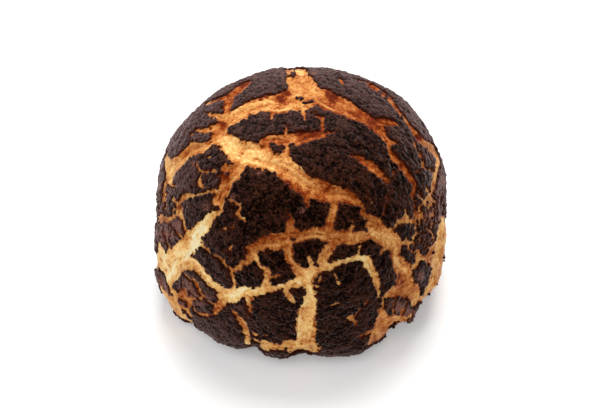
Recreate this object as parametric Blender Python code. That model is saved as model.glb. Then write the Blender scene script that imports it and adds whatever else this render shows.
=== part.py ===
"""A tall round bun whose dark crust has cracked into plates over paler bread.

Metres, +Z up. The origin is the middle of the flat base. The bun is one solid: a turned dome,
uneven by a few named swells, with the crust plates left standing and the fissures sunk between
them. On the front the fissures follow the photographed bun. Behind, where the photograph does
not reach, a seeded network of the same kind carries on.
"""

import math

import bmesh
import bpy
import numpy as np
from mathutils import noise

# ---------------------------------------------------------------- size of the bun
DIAMETER = 0.104
HEIGHT = 0.0758
WAIST_HEIGHT = 0.019          # height of the widest ring
DOME_POWER = 2.6              # 2 is an ellipse, higher is squarer
FOOT_POWER = 3.2
FOOT_REACH = 0.023            # depth of the lower half before the base is cut flat

# ---------------------------------------------------------------- crust and fissures
CRUST_THICKNESS = 0.0013      # step from the bread up to a plate
FISSURE_DIP = 0.0011          # how much lower the middle of a wide fissure lies
DIP_REACH = 0.0035            # distance from a plate's edge at which that dip is complete
EDGE_ROUNDING = 0.0008        # half the width of the slope at a plate's edge
EDGE_WANDER = 0.0007          # how far an edge strays from its route
WANDER_SIZE = 0.005
LUMP_HEIGHT = 0.0007          # broad unevenness of the whole skin
LUMP_SIZE = 0.016

# ---------------------------------------------------------------- how the routes were seen
VIEW_ELEVATION = math.radians(40)
VIEW_DISTANCE = 0.505         # from the middle of the bun's height
FOCAL_PIXELS = 1445.0
MIDDLE_PIXEL = (300.9, 192.4)         # where the middle of the bun's height appears

# ---------------------------------------------------------------- the unseen side
PLATE_COUNT = 64              # plates all round, of which the unseen ones are used
PLATE_SEED = 11
PLATE_WARP = 0.006
BLEND_FACING = (0.06, 0.24)   # cosines between which the seen routes take over

TRIANGLES = 13000
BALL_SUBDIVISIONS = 7

# Swells of the dome: (azimuth, elevation, spread) in degrees, then the height in metres.
# Azimuth 0 is the right side, 90 the back and 270 the front.
SWELLS = {
    "upper_right": (33, 38, 20, 0.0013),
    "crown_left": (122, 45, 14, -0.0008),
    "upper_left": (164, 16, 12, 0.0013),
    "left_side": (180, 14, 12, -0.0012),
    "lower_left": (206, -8, 17, 0.0021),
    "right_side": (355, 8, 10, -0.0009),
    "foot_lobe_left": (212, -18, 5, 0.0014),
    "foot_dent_left": (249, -22, 5, -0.0030),
    "foot_dent_front": (274, -22, 6, -0.0016),
    "foot_lobe_right": (294, -22, 8, 0.0022),
    "foot_dent_right": (320, -18, 7, -0.0034),
    "foot_dent_far_right": (333, -14, 8, -0.0026),
}

# Fissures as (x, y, width) in pixels of the photograph.
ROUTES = {
    "crown_notch": ((301, 66, 12), (302, 74, 15), (303, 82, 23), (301, 92, 20), (298, 100, 16)),
    "fork_left": ((300, 97, 19), (280, 104.5, 16), (260, 104.5, 15), (240, 109.5, 14),
                  (227, 119, 8), (218, 132, 12), (220, 138, 8)),
    "fork_right": ((305, 92, 18), (318, 98, 16), (340, 105, 18), (360, 115.5, 14),
                   (378, 128, 11), (390, 146, 5), (392, 153, 5)),
    "main_diagonal": ((219, 135, 10), (237, 149, 23), (250, 154, 25), (277, 163, 19),
                      (303, 178, 19), (330, 191, 19), (352, 197, 10), (361, 201, 6)),
    "left_high": ((212, 143, 3), (198, 148.5, 9), (183, 156, 9), (169, 166, 9), (167, 173, 8)),
    "left_orange": ((237, 168, 8), (227, 180, 15), (223, 192, 10), (218, 206, 8)),
    "left_cross": ((178, 199, 5), (190, 196, 4), (209, 190, 5), (219, 195, 7)),
    "left_low_diagonal": ((219, 212, 6), (205, 225, 11), (191, 240, 15), (177, 256, 16),
                          (168, 271, 11)),
    "left_limb": ((157, 261, 12), (176, 264, 18), (196, 265, 9), (209, 279, 8), (223, 292, 8)),
    "left_column": ((178, 202, 5), (177, 208, 6), (179, 215, 7), (183, 229, 5)),
    "central_low": ((233, 286, 6), (231, 272, 6), (245, 264, 8), (253, 250, 8), (259, 245, 8)),
    "orange_band": ((259, 245.5, 9), (275, 242.5, 14), (293, 237, 13), (312, 233, 9),
                    (333, 234, 10), (357, 237, 12), (376, 231, 13)),
    "band_drop": ((291, 245, 8), (295, 263, 9), (304, 278, 11)),
    "band_spur": ((291, 217, 4), (290, 231, 9)),
    "diagonal_spur": ((306, 194, 9), (306, 206, 4)),
    "mid_gap": ((335, 201, 8), (331, 217, 6), (329, 231, 7)),
    "mid_gap_right": ((359, 199, 6), (363, 207, 5), (368, 219, 6), (374, 222, 7)),
    "mid_low_gap": ((329, 243, 8), (320, 259, 10), (316, 266, 12)),
    "plate_ring": ((253, 252, 5), (260, 266, 5), (268, 276, 6), (266, 288, 8)),
    "low_horizontal": ((224, 297, 8), (240, 292.5, 9), (264, 289.5, 7), (289, 285, 6),
                       (306, 278, 13), (321, 267, 10), (346, 259.5, 6), (365, 258, 7),
                       (371, 270, 7), (378, 291, 6), (391, 293, 8), (400, 291, 9)),
    "front_vertical": ((310, 282, 9), (311, 298, 13), (308.5, 315, 17), (306, 333, 18),
                       (303, 350, 20), (302, 357, 16)),
    "base_strip": ((261, 347, 4), (280, 345.5, 5), (297, 344, 12)),
    "low_left_split": ((249, 297, 7), (249, 310, 4), (243, 325, 4), (250, 345, 5)),
    "low_left_drop": ((223, 296, 6), (221, 303, 6), (215, 314, 5)),
    "foot_left_band": ((168, 288, 4), (181, 297, 5), (201, 297, 5)),
    "foot_left_rim": ((163, 288, 3), (172, 304, 5), (184, 318, 8), (191, 320, 5)),
    "right_mid": ((372, 224, 8), (386, 237, 15), (397, 257, 8), (406, 279, 13), (411, 293, 10),
                  (417, 305, 4)),
    "right_foot": ((381, 306, 4), (380, 321, 9), (381, 329, 11), (383, 336, 5)),
    "right_gold": ((403, 214, 5), (412, 219, 8), (417, 229, 4), (419, 235, 5)),
    "right_ring": ((413, 267, 4), (420, 256, 8), (433, 263, 8), (436, 279, 9), (423, 299, 4)),
    "inner_golden": ((351, 155, 3), (364, 163, 9), (377, 172, 8), (389, 182, 4)),
    "right_inner": ((389, 152, 5), (399, 162, 8), (412, 181, 7), (417, 194, 4)),
    "right_spur": ((380, 122, 6), (394, 125, 5), (408, 129, 4)),
    "outer_right": ((361, 80, 3), (375, 88, 6), (391, 103, 6), (407, 121, 5), (421, 138, 8),
                    (437, 157, 5), (438, 176, 5), (432, 199, 6), (421, 211, 4)),
    "top_left_gap": ((247, 83, 5), (236, 91.5, 5), (226.5, 103, 6), (227, 115, 7)),
    "pocket_row": ((262, 147, 7), (276, 139, 9), (301, 137, 9), (323, 134, 5)),
    "pocket_drop": ((286, 142, 7), (284, 158, 8)),
    "middle_split": ((320, 118, 4), (323, 133, 5)),
}

ROUTE_STEP = 5.0              # pixels between the points sampled along a route
SEARCH_REACH = 0.009          # beyond this distance a fissure has no say


# ---------------------------------------------------------------- the form
def direction(azimuth, elevation):
    """Unit vector from two angles in degrees."""
    turn, lift = math.radians(azimuth), math.radians(elevation)
    return np.array([math.cos(turn) * math.cos(lift), math.sin(turn) * math.cos(lift), math.sin(lift)])


def form_radius(unit):
    """Distance from the middle of the widest ring to the skin, for rows of unit vectors."""
    level = np.hypot(unit[:, 0], unit[:, 1]) / (DIAMETER / 2)
    upright = np.abs(unit[:, 2]) / np.where(unit[:, 2] > 0, HEIGHT - WAIST_HEIGHT, FOOT_REACH)
    power = np.where(unit[:, 2] > 0, DOME_POWER, FOOT_POWER)
    radius = (level ** power + upright ** power) ** (-1 / power)
    for azimuth, elevation, spread, height in SWELLS.values():
        angle = np.degrees(np.arccos(np.clip(unit @ direction(azimuth, elevation), -1, 1)))
        radius += height * np.exp(-(angle / spread) ** 2)
    return radius


def on_form(points):
    """Move points along the spokes from the middle of the widest ring onto the skin."""
    middle = np.array([0, 0, WAIST_HEIGHT])
    spoke = points - middle
    unit = spoke / np.linalg.norm(spoke, axis=1, keepdims=True)
    return middle + unit * form_radius(unit)[:, None]


def outside_by(points):
    """How far points lie outside the skin, along those spokes; negative inside."""
    spoke = points - np.array([0, 0, WAIST_HEIGHT])
    length = np.linalg.norm(spoke, axis=1)
    return length - form_radius(spoke / length[:, None])


# ---------------------------------------------------------------- from the photograph to the form
def eye():
    """Where the photograph was taken from."""
    back, up = math.cos(VIEW_ELEVATION), math.sin(VIEW_ELEVATION)
    return np.array([0, -back * VIEW_DISTANCE, HEIGHT / 2 + up * VIEW_DISTANCE])


def on_skin(pixels):
    """The points of the form that appear at these pixels, or the nearest ones to the line of sight."""
    back, up = math.cos(VIEW_ELEVATION), math.sin(VIEW_ELEVATION)
    offset = (pixels - np.array(MIDDLE_PIXEL)) / FOCAL_PIXELS
    sight = np.array([0, back, -up]) + offset[:, :1] * np.array([1, 0, 0])
    sight -= offset[:, 1:] * np.array([0, up, back])
    sight /= np.linalg.norm(sight, axis=1, keepdims=True)
    found = np.zeros((len(pixels), 3))
    for row, ray in enumerate(sight):
        along = np.arange(VIEW_DISTANCE - 0.07, VIEW_DISTANCE + 0.07, 0.0005)
        points = eye() + along[:, None] * ray
        gap = outside_by(points)
        inside = np.nonzero(gap < 0)[0]
        found[row] = points[inside[0] if len(inside) else gap.argmin()]
    return on_form(found)


def smooth_route(points):
    """Sample a smooth curve through the points of a route."""
    knots = np.array(points, float)
    knots = np.vstack([2 * knots[0] - knots[1], knots, 2 * knots[-1] - knots[-2]])
    pieces = []
    for before, start, end, after in zip(knots, knots[1:], knots[2:], knots[3:]):
        count = max(1, round(math.dist(start[:2], end[:2]) / ROUTE_STEP))
        part = np.linspace(0, 1, count, endpoint=False)[:, None]
        pieces.append(0.5 * (2 * start + (end - before) * part
                             + (2 * before - 5 * start + 4 * end - after) * part ** 2
                             + (3 * start - before - 3 * end + after) * part ** 3))
    return np.vstack(pieces + [knots[-2:-1]])


def route_on_form(points):
    """Middle points of a route on the skin and its half width at each."""
    samples = smooth_route(points)
    heading = np.gradient(samples[:, :2], axis=0)
    heading /= np.linalg.norm(heading, axis=1, keepdims=True)
    across = np.stack([-heading[:, 1], heading[:, 0]], axis=1) * samples[:, 2:] / 2
    left = on_skin(samples[:, :2] + across)
    right = on_skin(samples[:, :2] - across)
    half_width = np.linalg.norm(left - right, axis=1) / 2
    widest = samples[:, 2] * VIEW_DISTANCE / FOCAL_PIXELS
    return (left + right) / 2, np.minimum(half_width, widest)


def seen_edge(points):
    """Signed distance to the nearest seen fissure: negative inside it."""
    edge = np.full(len(points), SEARCH_REACH)
    for route in ROUTES.values():
        middles, half_widths = route_on_form(route)
        centre = middles.mean(axis=0)
        reach = np.linalg.norm(middles - centre, axis=1).max() + SEARCH_REACH
        near = np.nonzero(np.linalg.norm(points - centre, axis=1) < reach)[0]
        for start, end, wide, next_wide in zip(middles, middles[1:], half_widths, half_widths[1:]):
            run = end - start
            part = np.clip((points[near] - start) @ run / (run @ run), 0, 1)
            away = np.linalg.norm(points[near] - start - part[:, None] * run, axis=1)
            edge[near] = np.minimum(edge[near], away - wide - (next_wide - wide) * part)
    return edge


# ---------------------------------------------------------------- the unseen network
def wander(points, size, shift):
    """Smooth uneven values between about -1 and 1, with lumps of the given size."""
    rows = (points / size + shift).tolist()
    return np.array([noise.fractal(row, 1.0, 2.0, 3) for row in rows])


def unseen_edge(points):
    """Signed distance to a network of fissures between plates scattered by a seeded draw."""
    draw = np.random.default_rng(PLATE_SEED)
    unit = draw.normal(size=(PLATE_COUNT, 3))
    unit[:, 2] = np.abs(unit[:, 2]) - 0.25
    unit /= np.linalg.norm(unit, axis=1, keepdims=True)
    hearts = on_form(np.array([0, 0, WAIST_HEIGHT]) + unit)
    sizes = draw.uniform(0, 0.006, PLATE_COUNT)
    warp = np.stack([wander(points, 0.018, shift) for shift in (3, 17, 41)], axis=1)
    moved = points + PLATE_WARP * warp
    away = np.linalg.norm(moved[:, None] - hearts, axis=2) - sizes
    away.partition(1, axis=1)
    half_width = 0.0016 + 0.0016 * wander(points, 0.02, 71)
    return (away[:, 1] - away[:, 0]) / 2 - half_width


def smooth_step(value, low, high):
    """0 below low, 1 above high and a smooth rise between."""
    part = np.clip((value - low) / (high - low), 0, 1)
    return part * part * (3 - 2 * part)


def crust_edge(points, normals):
    """Signed distance to the nearest plate edge: positive on a plate, negative in a fissure."""
    toward_eye = eye() - points
    toward_eye /= np.linalg.norm(toward_eye, axis=1, keepdims=True)
    seen = smooth_step((normals * toward_eye).sum(axis=1), *BLEND_FACING)
    edge = seen * seen_edge(points) + (1 - seen) * unseen_edge(points)
    return edge + EDGE_WANDER * wander(points, WANDER_SIZE, 5)


def relief(points, normals):
    """Height of the finished skin over the form."""
    edge = crust_edge(points, normals)
    step = smooth_step(edge, -EDGE_ROUNDING, EDGE_ROUNDING)
    dip = smooth_step(-edge, 0, DIP_REACH)
    return LUMP_HEIGHT * wander(points, LUMP_SIZE, 29) - CRUST_THICKNESS * (1 - step) - FISSURE_DIP * dip


# ---------------------------------------------------------------- the bun
def bun_material():
    """Dark, dull, scorched crust."""
    material = bpy.data.materials.new("scorched_crust")
    material.use_nodes = True
    shader = material.node_tree.nodes["Principled BSDF"]
    shader.inputs["Base Color"].default_value = (0.055, 0.024, 0.014, 1)
    shader.inputs["Roughness"].default_value = 0.85
    shader.inputs["Metallic"].default_value = 0.0
    material.diffuse_color = shader.inputs["Base Color"].default_value
    return material


def bun_mesh():
    """A fine ball moved onto the form and then given the relief along its normals."""
    mesh = bpy.data.meshes.new("bun")
    ball = bmesh.new()
    bmesh.ops.create_icosphere(ball, subdivisions=BALL_SUBDIVISIONS, radius=DIAMETER / 2)
    ball.to_mesh(mesh)
    ball.free()
    count = len(mesh.vertices)
    points = np.empty(count * 3)
    mesh.vertices.foreach_get("co", points)
    points = on_form(points.reshape(-1, 3) + np.array([0, 0, WAIST_HEIGHT]))
    mesh.vertices.foreach_set("co", points.ravel())
    mesh.update()
    normals = np.empty(count * 3)
    mesh.vertex_normals.foreach_get("vector", normals)
    normals = normals.reshape(-1, 3)
    points += normals * relief(points, normals)[:, None]
    mesh.vertices.foreach_set("co", points.ravel())
    mesh.update()
    return mesh


def floor_cutter(collection):
    """A block whose top is the floor: what it cuts away leaves the flat base."""
    block = bmesh.new()
    bmesh.ops.create_cube(block, size=DIAMETER * 2)
    mesh = bpy.data.meshes.new("floor_cutter")
    block.to_mesh(mesh)
    block.free()
    cutter = bpy.data.objects.new("floor_cutter", mesh)
    cutter.location = (0, 0, -DIAMETER)
    cutter.hide_render = True
    cutter.display_type = "WIRE"
    collection.objects.link(cutter)
    return cutter


def new_collection(name):
    """A collection of the scene."""
    collection = bpy.data.collections.new(name)
    bpy.context.scene.collection.children.link(collection)
    return collection


def build():
    """Clear the scene and model the bun."""
    for old in list(bpy.data.objects):
        bpy.data.objects.remove(old, do_unlink=True)
    bun = bpy.data.objects.new("bun", bun_mesh())
    new_collection("crackled_bun").objects.link(bun)
    bun.data.materials.append(bun_material())
    bun.data.shade_smooth()
    thin = bun.modifiers.new("thin", "DECIMATE")
    thin.ratio = TRIANGLES / len(bun.data.polygons)
    base = bun.modifiers.new("base", "BOOLEAN")
    base.operation = "DIFFERENCE"
    base.object = floor_cutter(new_collection("cutters"))


build()
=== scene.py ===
"""The looks of a dark crackled bun: golden bread, and the scorched crust broken into plates over it.

The bread is one closed body, fine where it shows and coarse under the plates. The crust is a skin
of grainy plates with thick ragged rims, cut out along the same fissures as the solid. On the front
the fissures follow the photographed bun; on the side that the photograph does not show, a seeded
network of the same kind carries on. Lengths are in metres, +Z is up.
"""

import math

import bmesh
import bpy
import numpy as np
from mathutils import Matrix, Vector, noise


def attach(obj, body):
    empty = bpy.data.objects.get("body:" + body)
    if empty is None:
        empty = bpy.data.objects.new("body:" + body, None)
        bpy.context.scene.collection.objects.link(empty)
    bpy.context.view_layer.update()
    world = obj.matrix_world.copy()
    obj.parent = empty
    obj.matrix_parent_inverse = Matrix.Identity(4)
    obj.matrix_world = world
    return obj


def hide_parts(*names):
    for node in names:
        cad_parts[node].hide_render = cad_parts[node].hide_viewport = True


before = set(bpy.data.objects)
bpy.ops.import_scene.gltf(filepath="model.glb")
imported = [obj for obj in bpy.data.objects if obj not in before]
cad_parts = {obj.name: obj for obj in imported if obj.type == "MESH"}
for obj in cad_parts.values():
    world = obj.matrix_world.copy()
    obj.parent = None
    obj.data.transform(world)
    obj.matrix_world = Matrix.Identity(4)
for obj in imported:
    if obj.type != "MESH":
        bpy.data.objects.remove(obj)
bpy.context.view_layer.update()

# ---------------- size of the bun, as in the solid
DIAMETER = 0.104
HEIGHT = 0.0758
WAIST_HEIGHT = 0.019
RING_MIDDLE = np.array([0, 0, WAIST_HEIGHT])  # middle of the widest ring
DOME_POWER = 2.6
FOOT_POWER = 3.2
FOOT_REACH = 0.023

# Swells of the dome: (azimuth, elevation, spread) in degrees, then the height in metres.
# Azimuth 0 is the right side, 90 the back and 270 the front.
SWELLS = {
    "upper_right": (33, 38, 20, 0.0013),
    "crown_left": (122, 45, 14, -0.0008),
    "upper_left": (164, 16, 12, 0.0013),
    "left_side": (180, 14, 12, -0.0012),
    "lower_left": (206, -8, 17, 0.0021),
    "right_side": (355, 8, 10, -0.0009),
    "foot_lobe_left": (212, -18, 5, 0.0014),
    "foot_dent_left": (249, -22, 5, -0.0030),
    "foot_dent_front": (274, -22, 6, -0.0016),
    "foot_lobe_right": (294, -22, 8, 0.0022),
    "foot_dent_right": (320, -18, 7, -0.0034),
    "foot_dent_far_right": (333, -14, 8, -0.0026),
}

# The puffed edges of single plates and the dents between them, finer than in the solid.
PUFFS = {
    "foot_knob": (315.5, -8.5, 4, 0.0019),
    "beside_knob": (310.5, -11, 3.2, -0.0032),
    "foot_right": (334, -6, 5, 0.0014),
    "foot_far_right": (341, -6, 6, 0.0012),
    "foot_left_dent": (250.5, -14, 4.2, -0.0026),
    "foot_front_dent": (269.7, -14, 4, -0.0027),
    "foot_front_dent_right": (275.5, -11.5, 3.5, -0.0010),
    "low_left_dent": (205, -2, 4, -0.0019),
    "foot_left_puff": (236, -13, 4, 0.0005),
    "foot_right_puff": (293, -13, 4, 0.0005),
    "right_shoulder_dent": (350, 21, 6, -0.0019),
    "crown_notch": (90, 62, 3.5, -0.0022),
    "right_shoulder": (6, 26, 6, 0.0005),
    "right_limb": (343, 11, 9, 0.0014),
    "left_limb": (201, 2, 5, 0.0003),
    "upper_left_dent": (154, 47, 6, -0.0006),
    "upper_left_puff": (164, 35, 6, 0.0004),
}

# ---------------- how the photograph was taken
VIEW_ELEVATION = math.radians(40)
VIEW_DISTANCE = 0.505                 # from the middle of the bun's height
LENS, SENSOR = 85, 36                 # millimetres
PHOTO_SIZE = (612, 408)
MIDDLE_PIXEL = (300.9, 192.4)         # where the middle of the bun's height appears
FOCAL_PIXELS = LENS / SENSOR * PHOTO_SIZE[0]
PIXEL = VIEW_DISTANCE / FOCAL_PIXELS  # length that one pixel covers, face on
BACK, UP = math.cos(VIEW_ELEVATION), math.sin(VIEW_ELEVATION)
EYE = np.array([0, -BACK * VIEW_DISTANCE, HEIGHT / 2 + UP * VIEW_DISTANCE])
AHEAD = np.array([0, BACK, -UP])      # the way the camera looks
SCREEN_UP = np.array([0, UP, BACK])   # and what is up in its picture
SIGHT_REACH = 0.07                    # how far before and behind the middle the skin is looked for
SIGHT_STEP = 0.0005

# ---------------- fissures
ROUTE_STEP = 4.0              # pixels between the points sampled along a route
SEARCH_REACH = 0.006          # beyond this distance a fissure has no say
FULL_SAY = -0.004             # and this far inside its edges it has all of it
WIDEST_TILT = 2.6             # how many times wider than it looks a fissure near the limb may be
TONE_REACH = 0.0012           # how far the tones of meeting fissures run into each other
PLAIN_BAKE = 0.42             # how much bread far from every fissure is baked
LEAST_SAY = 1e-6              # and how little that counts beside a fissure
EDGE_WANDER = 0.0004          # how far an edge strays from its route, in broad bends
LOBE_DEPTH = 0.00075          # rounded lobes along a plate's edge
LOBE_SIZE = 0.0019
LOBE_MIDDLE = 0.15            # how much further out than in they reach
FRAY_DEPTH = 0.00060          # and the fine fraying of it
FRAY_SIZE = 0.0009

# The side that the photograph doesn't show takes over where the skin turns away from the camera.
# Each pair holds two cosines of the angle between the skin's normal and the way to the camera.
BLEND_FACING = (-0.3, -0.15)  # the network of the far side gives way to the routes
FLAKE_FACING = (-0.3, -0.14)  # the loose flakes on the far side's widest bread give out
THIN_FACING = (-0.1, 0.15)    # the places of thin crust come in
UNDER_LEAD = 0.3              # how much further round the routes reach where the foot turns under
UNDER_DEPTHS = (0.002, 0.011)  # depths below the widest ring between which they come to do so

FLAKE_SIZE = 0.0052
FLAKE_GAP = 0.0010            # bare bread left round such flakes
FLAKE_END = 0.003             # what widens it until no flake is left
FLECK_SIZE = 0.0042
FLECK_GAP = 0.0004            # bare bread between the flecks of broken crust
LEAST_FLECKED = 0.1
MOST_FLECKED = 1.6
REAR_FLECKS = (0.15, 0.5)     # levels of unevenness between which the far side's crust is flecked
REAR_THIN = (0.2, 0.7)        # and between which it is thin
MOST_REAR_THIN = 0.7

PLATE_COUNT = 64              # plates in the network of the far side
PLATE_SEED = 11
PLATE_DROP = 0.25             # lowers their middles, which are drawn above the widest ring
PLATE_SPREAD = 0.006          # how much larger the largest may be than the smallest
PLATE_WARP = 0.006

# ---------------- relief
BREAD_DEPTH = 0.0008          # from a plate's top down to the bread beside it
FISSURE_DIP = 0.0009          # how much lower the middle of a wide fissure lies
DIP_REACH = 0.0035
COVERED_DROP = 0.0004         # how much lower again the bread lies under a plate
COVERED_EDGE = (0.0002, 0.001)  # distances in from its edge between which it falls to that
SHOWN_EDGE = (-0.0004, 0.0008)  # distances inside a fissure between which the relief comes in
STRAND_HEIGHT = 0.00040       # stretched folds that run along a fissure
STRAND_WIDTH = 0.0018
STRAND_LENGTH = 0.012
STRAND_SHIFT = 7.3            # from one fissure's folds to the next one's
CREVICE_DEPTH = 0.0003        # cracks between those folds
CREVICE_WIDTH = 0.05
CREVICE_PLACES = (0.0, 0.35)  # levels of unevenness between which they come in
CRUMB_HEIGHT = 0.00022        # torn crumb of the bread
CRUMB_SIZE = 0.0014
CRUMB_WARP = 0.0006
RIM_WIDTH = 0.0006            # rounding of a plate's edge
RIM_DROP = 0.00045
RIM_UNDERCUT = 0.0002
RIM_FOOT = 0.0022             # depth of the rim's foot, inside the bread
GRAIN_HEIGHT = 0.00034
GRAIN_SIZE = 0.0008
COBBLE_HEIGHT = 0.00046       # lumps of the crust, larger than its grains
COBBLE_SIZE = 0.0025
COBBLE_WARP = 0.0007          # irregularity of grains and lumps
CREASE_DEPTH = 0.00025        # fine creases that wind over the plates
CREASE_WIDTH = 0.06
THIN_FLATNESS = 0.55          # how much of all this thin crust lacks
CRUST_FOOT = 0.0006           # height above the floor at which the crust ends

FINE_WARP = (0.0012, (2, 11, 29))   # size of the bends in a warp, and a shift for each axis
BROAD_WARP = (0.018, (3, 17, 41))

# Uneven fields over the skin: mean, strength, size of the lumps and shift within the noise.
# Those that begin with rear are for the side that the photograph doesn't show.
UNEVEN = {
    "lumps": (0, 0.0007, 0.016, 29),
    "edge": (0, EDGE_WANDER, 0.005, 5),
    "stains": (1, 0.9, 0.002, 67),
    "thinness": (0.85, 0.7, 0.005, 107),
    "fleck_gaps": (0, 0.0003, 0.004, 53),
    "flake_gaps": (0.0006, 0.0014, 0.011, 59),
    "network_width": (0.0016, 0.0016, 0.02, 71),
    "rear_bake": (0.5, 0.35, 0.014, 13),
    "rear_strands": (0, 1, 0.0035, 101),
    "rear_thin": (0, 1, 0.012, 83),
    "rear_flecks": (0, 1, 0.02, 47),
    "crevices": (0, 1, 0.005, 97),
    "creases": (0, 1, 0.006, 91),
}

# ---------------- tones
LIGHT_LEVEL = 1.12            # brightness of a white sheet under the lamps, as a linear colour
RIM_PAINTED_SHADE = 0.22              # painted shade: how much the bread's bake is raised beside a plate, in the corner under its rim,
RIM_PAINTED_SHADE_REACH = 0.0007
STRAND_PAINTED_SHADE = 0.22           # in the hollows between its folds,
CRUMB_PAINTED_SHADE = 0.6             # in the hollows of its crumb, as a share of the folds' painted shade,
CREVICE_PAINTED_SHADE = 0.45          # and in its cracks
COBBLE_PAINTED_LIGHT = 0.25            # painted light: how much paler the crust is painted on a lump, beside a grain's 1,
CREASE_PAINTED_SHADE = 0.3             # painted shade: how much darker it is painted in a crease
FOOT_PAINTED_SHADE = 0.5               # and at the foot of a rim, under the plate's edge
DARKEST_SIDE = (288, 33)      # azimuth and elevation of the side that gets no painted sheen, where the crust is darkest
DARKEST_FACING = (0.25, 0.9)  # cosines toward that side between which the painted grey sheen gives out
BUMP_DEPTH = 0.0005

# Colours of the photograph, 0 to 255. Bread by its bake and painted shade, and crust without and with a
# painted sheen.
BREAD_TONES = {
    0.0: (255, 237, 188), 0.16: (251, 213, 141), 0.32: (240, 184, 110), 0.46: (217, 151, 83),
    0.6: (192, 118, 58), 0.75: (164, 84, 30), 0.88: (136, 55, 9), 1.0: (100, 30, 0),
}
# Hollow tones where the relief is low and grain tones where it is high: painted shade and painted light on
# the crust's relief, mixed with its own mottled tone.
HOLLOW_TONES = ((9, 2, 0), (34, 21, 18))
GRAIN_TONES = ((66, 35, 23), (92, 66, 62))
THIN_TONE = (126, 80, 66)
RIM_TONE = (62, 24, 9)

# Size and strength of the bread's mottling, from broad to fine.
BREAD_MOTTLING = ((0.0050, 0.55), (0.0016, 0.50), (0.0006, 0.65))

# ---------------- fineness of the meshes
CRUST_FREQUENCY = 186         # divisions of an icosahedron's edge
BREAD_FREQUENCY = 36
BREAD_LEVELS = 2              # times the bread's triangles are halved where it shows
CUT_SHARE = (0.12, 0.88)      # how near an edge's ends it may be cut

# ---------------- flat maps
MAP_MARGIN = 0.01
MAP_UP = (0.31, 0.95, 0.05)   # a direction that no piece has at its middle
LEAST_MAPPED = -0.95          # cosine from that middle beyond which a map is stretched no more
TINY = 1e-12                  # keeps from dividing by a length of nothing
BASE_CORNER = 0.925           # middle of the bread's flat base, in a corner of its map
BASE_REACH = 0.06

# The plates' pieces: four sides from the right round to the front, then both halves of the largest.
PLATE_PIECES = ("crust_right", "crust_back", "crust_left", "crust_front", "crust_crown", "crust_far")

# ---------------- floor and lamps
FLOOR_HALF = 3.0
FLOOR_GREY = 0.8
FLOOR_GLOW = 0.25
SURROUND = 0.3                # brightness of the white surround

# Lamps: azimuth and elevation in degrees, distance, size, and power in watts.
LAMPS = {
    "top_light": (85, 60, 0.9, 0.6, 10.6),
    "front_fill": (250, 52, 1.1, 0.7, 3.8),
    "right_fill": (335, 25, 1.2, 0.6, 1.0),
    "left_fill": (195, 35, 1.2, 0.6, 1.9),
}

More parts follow.
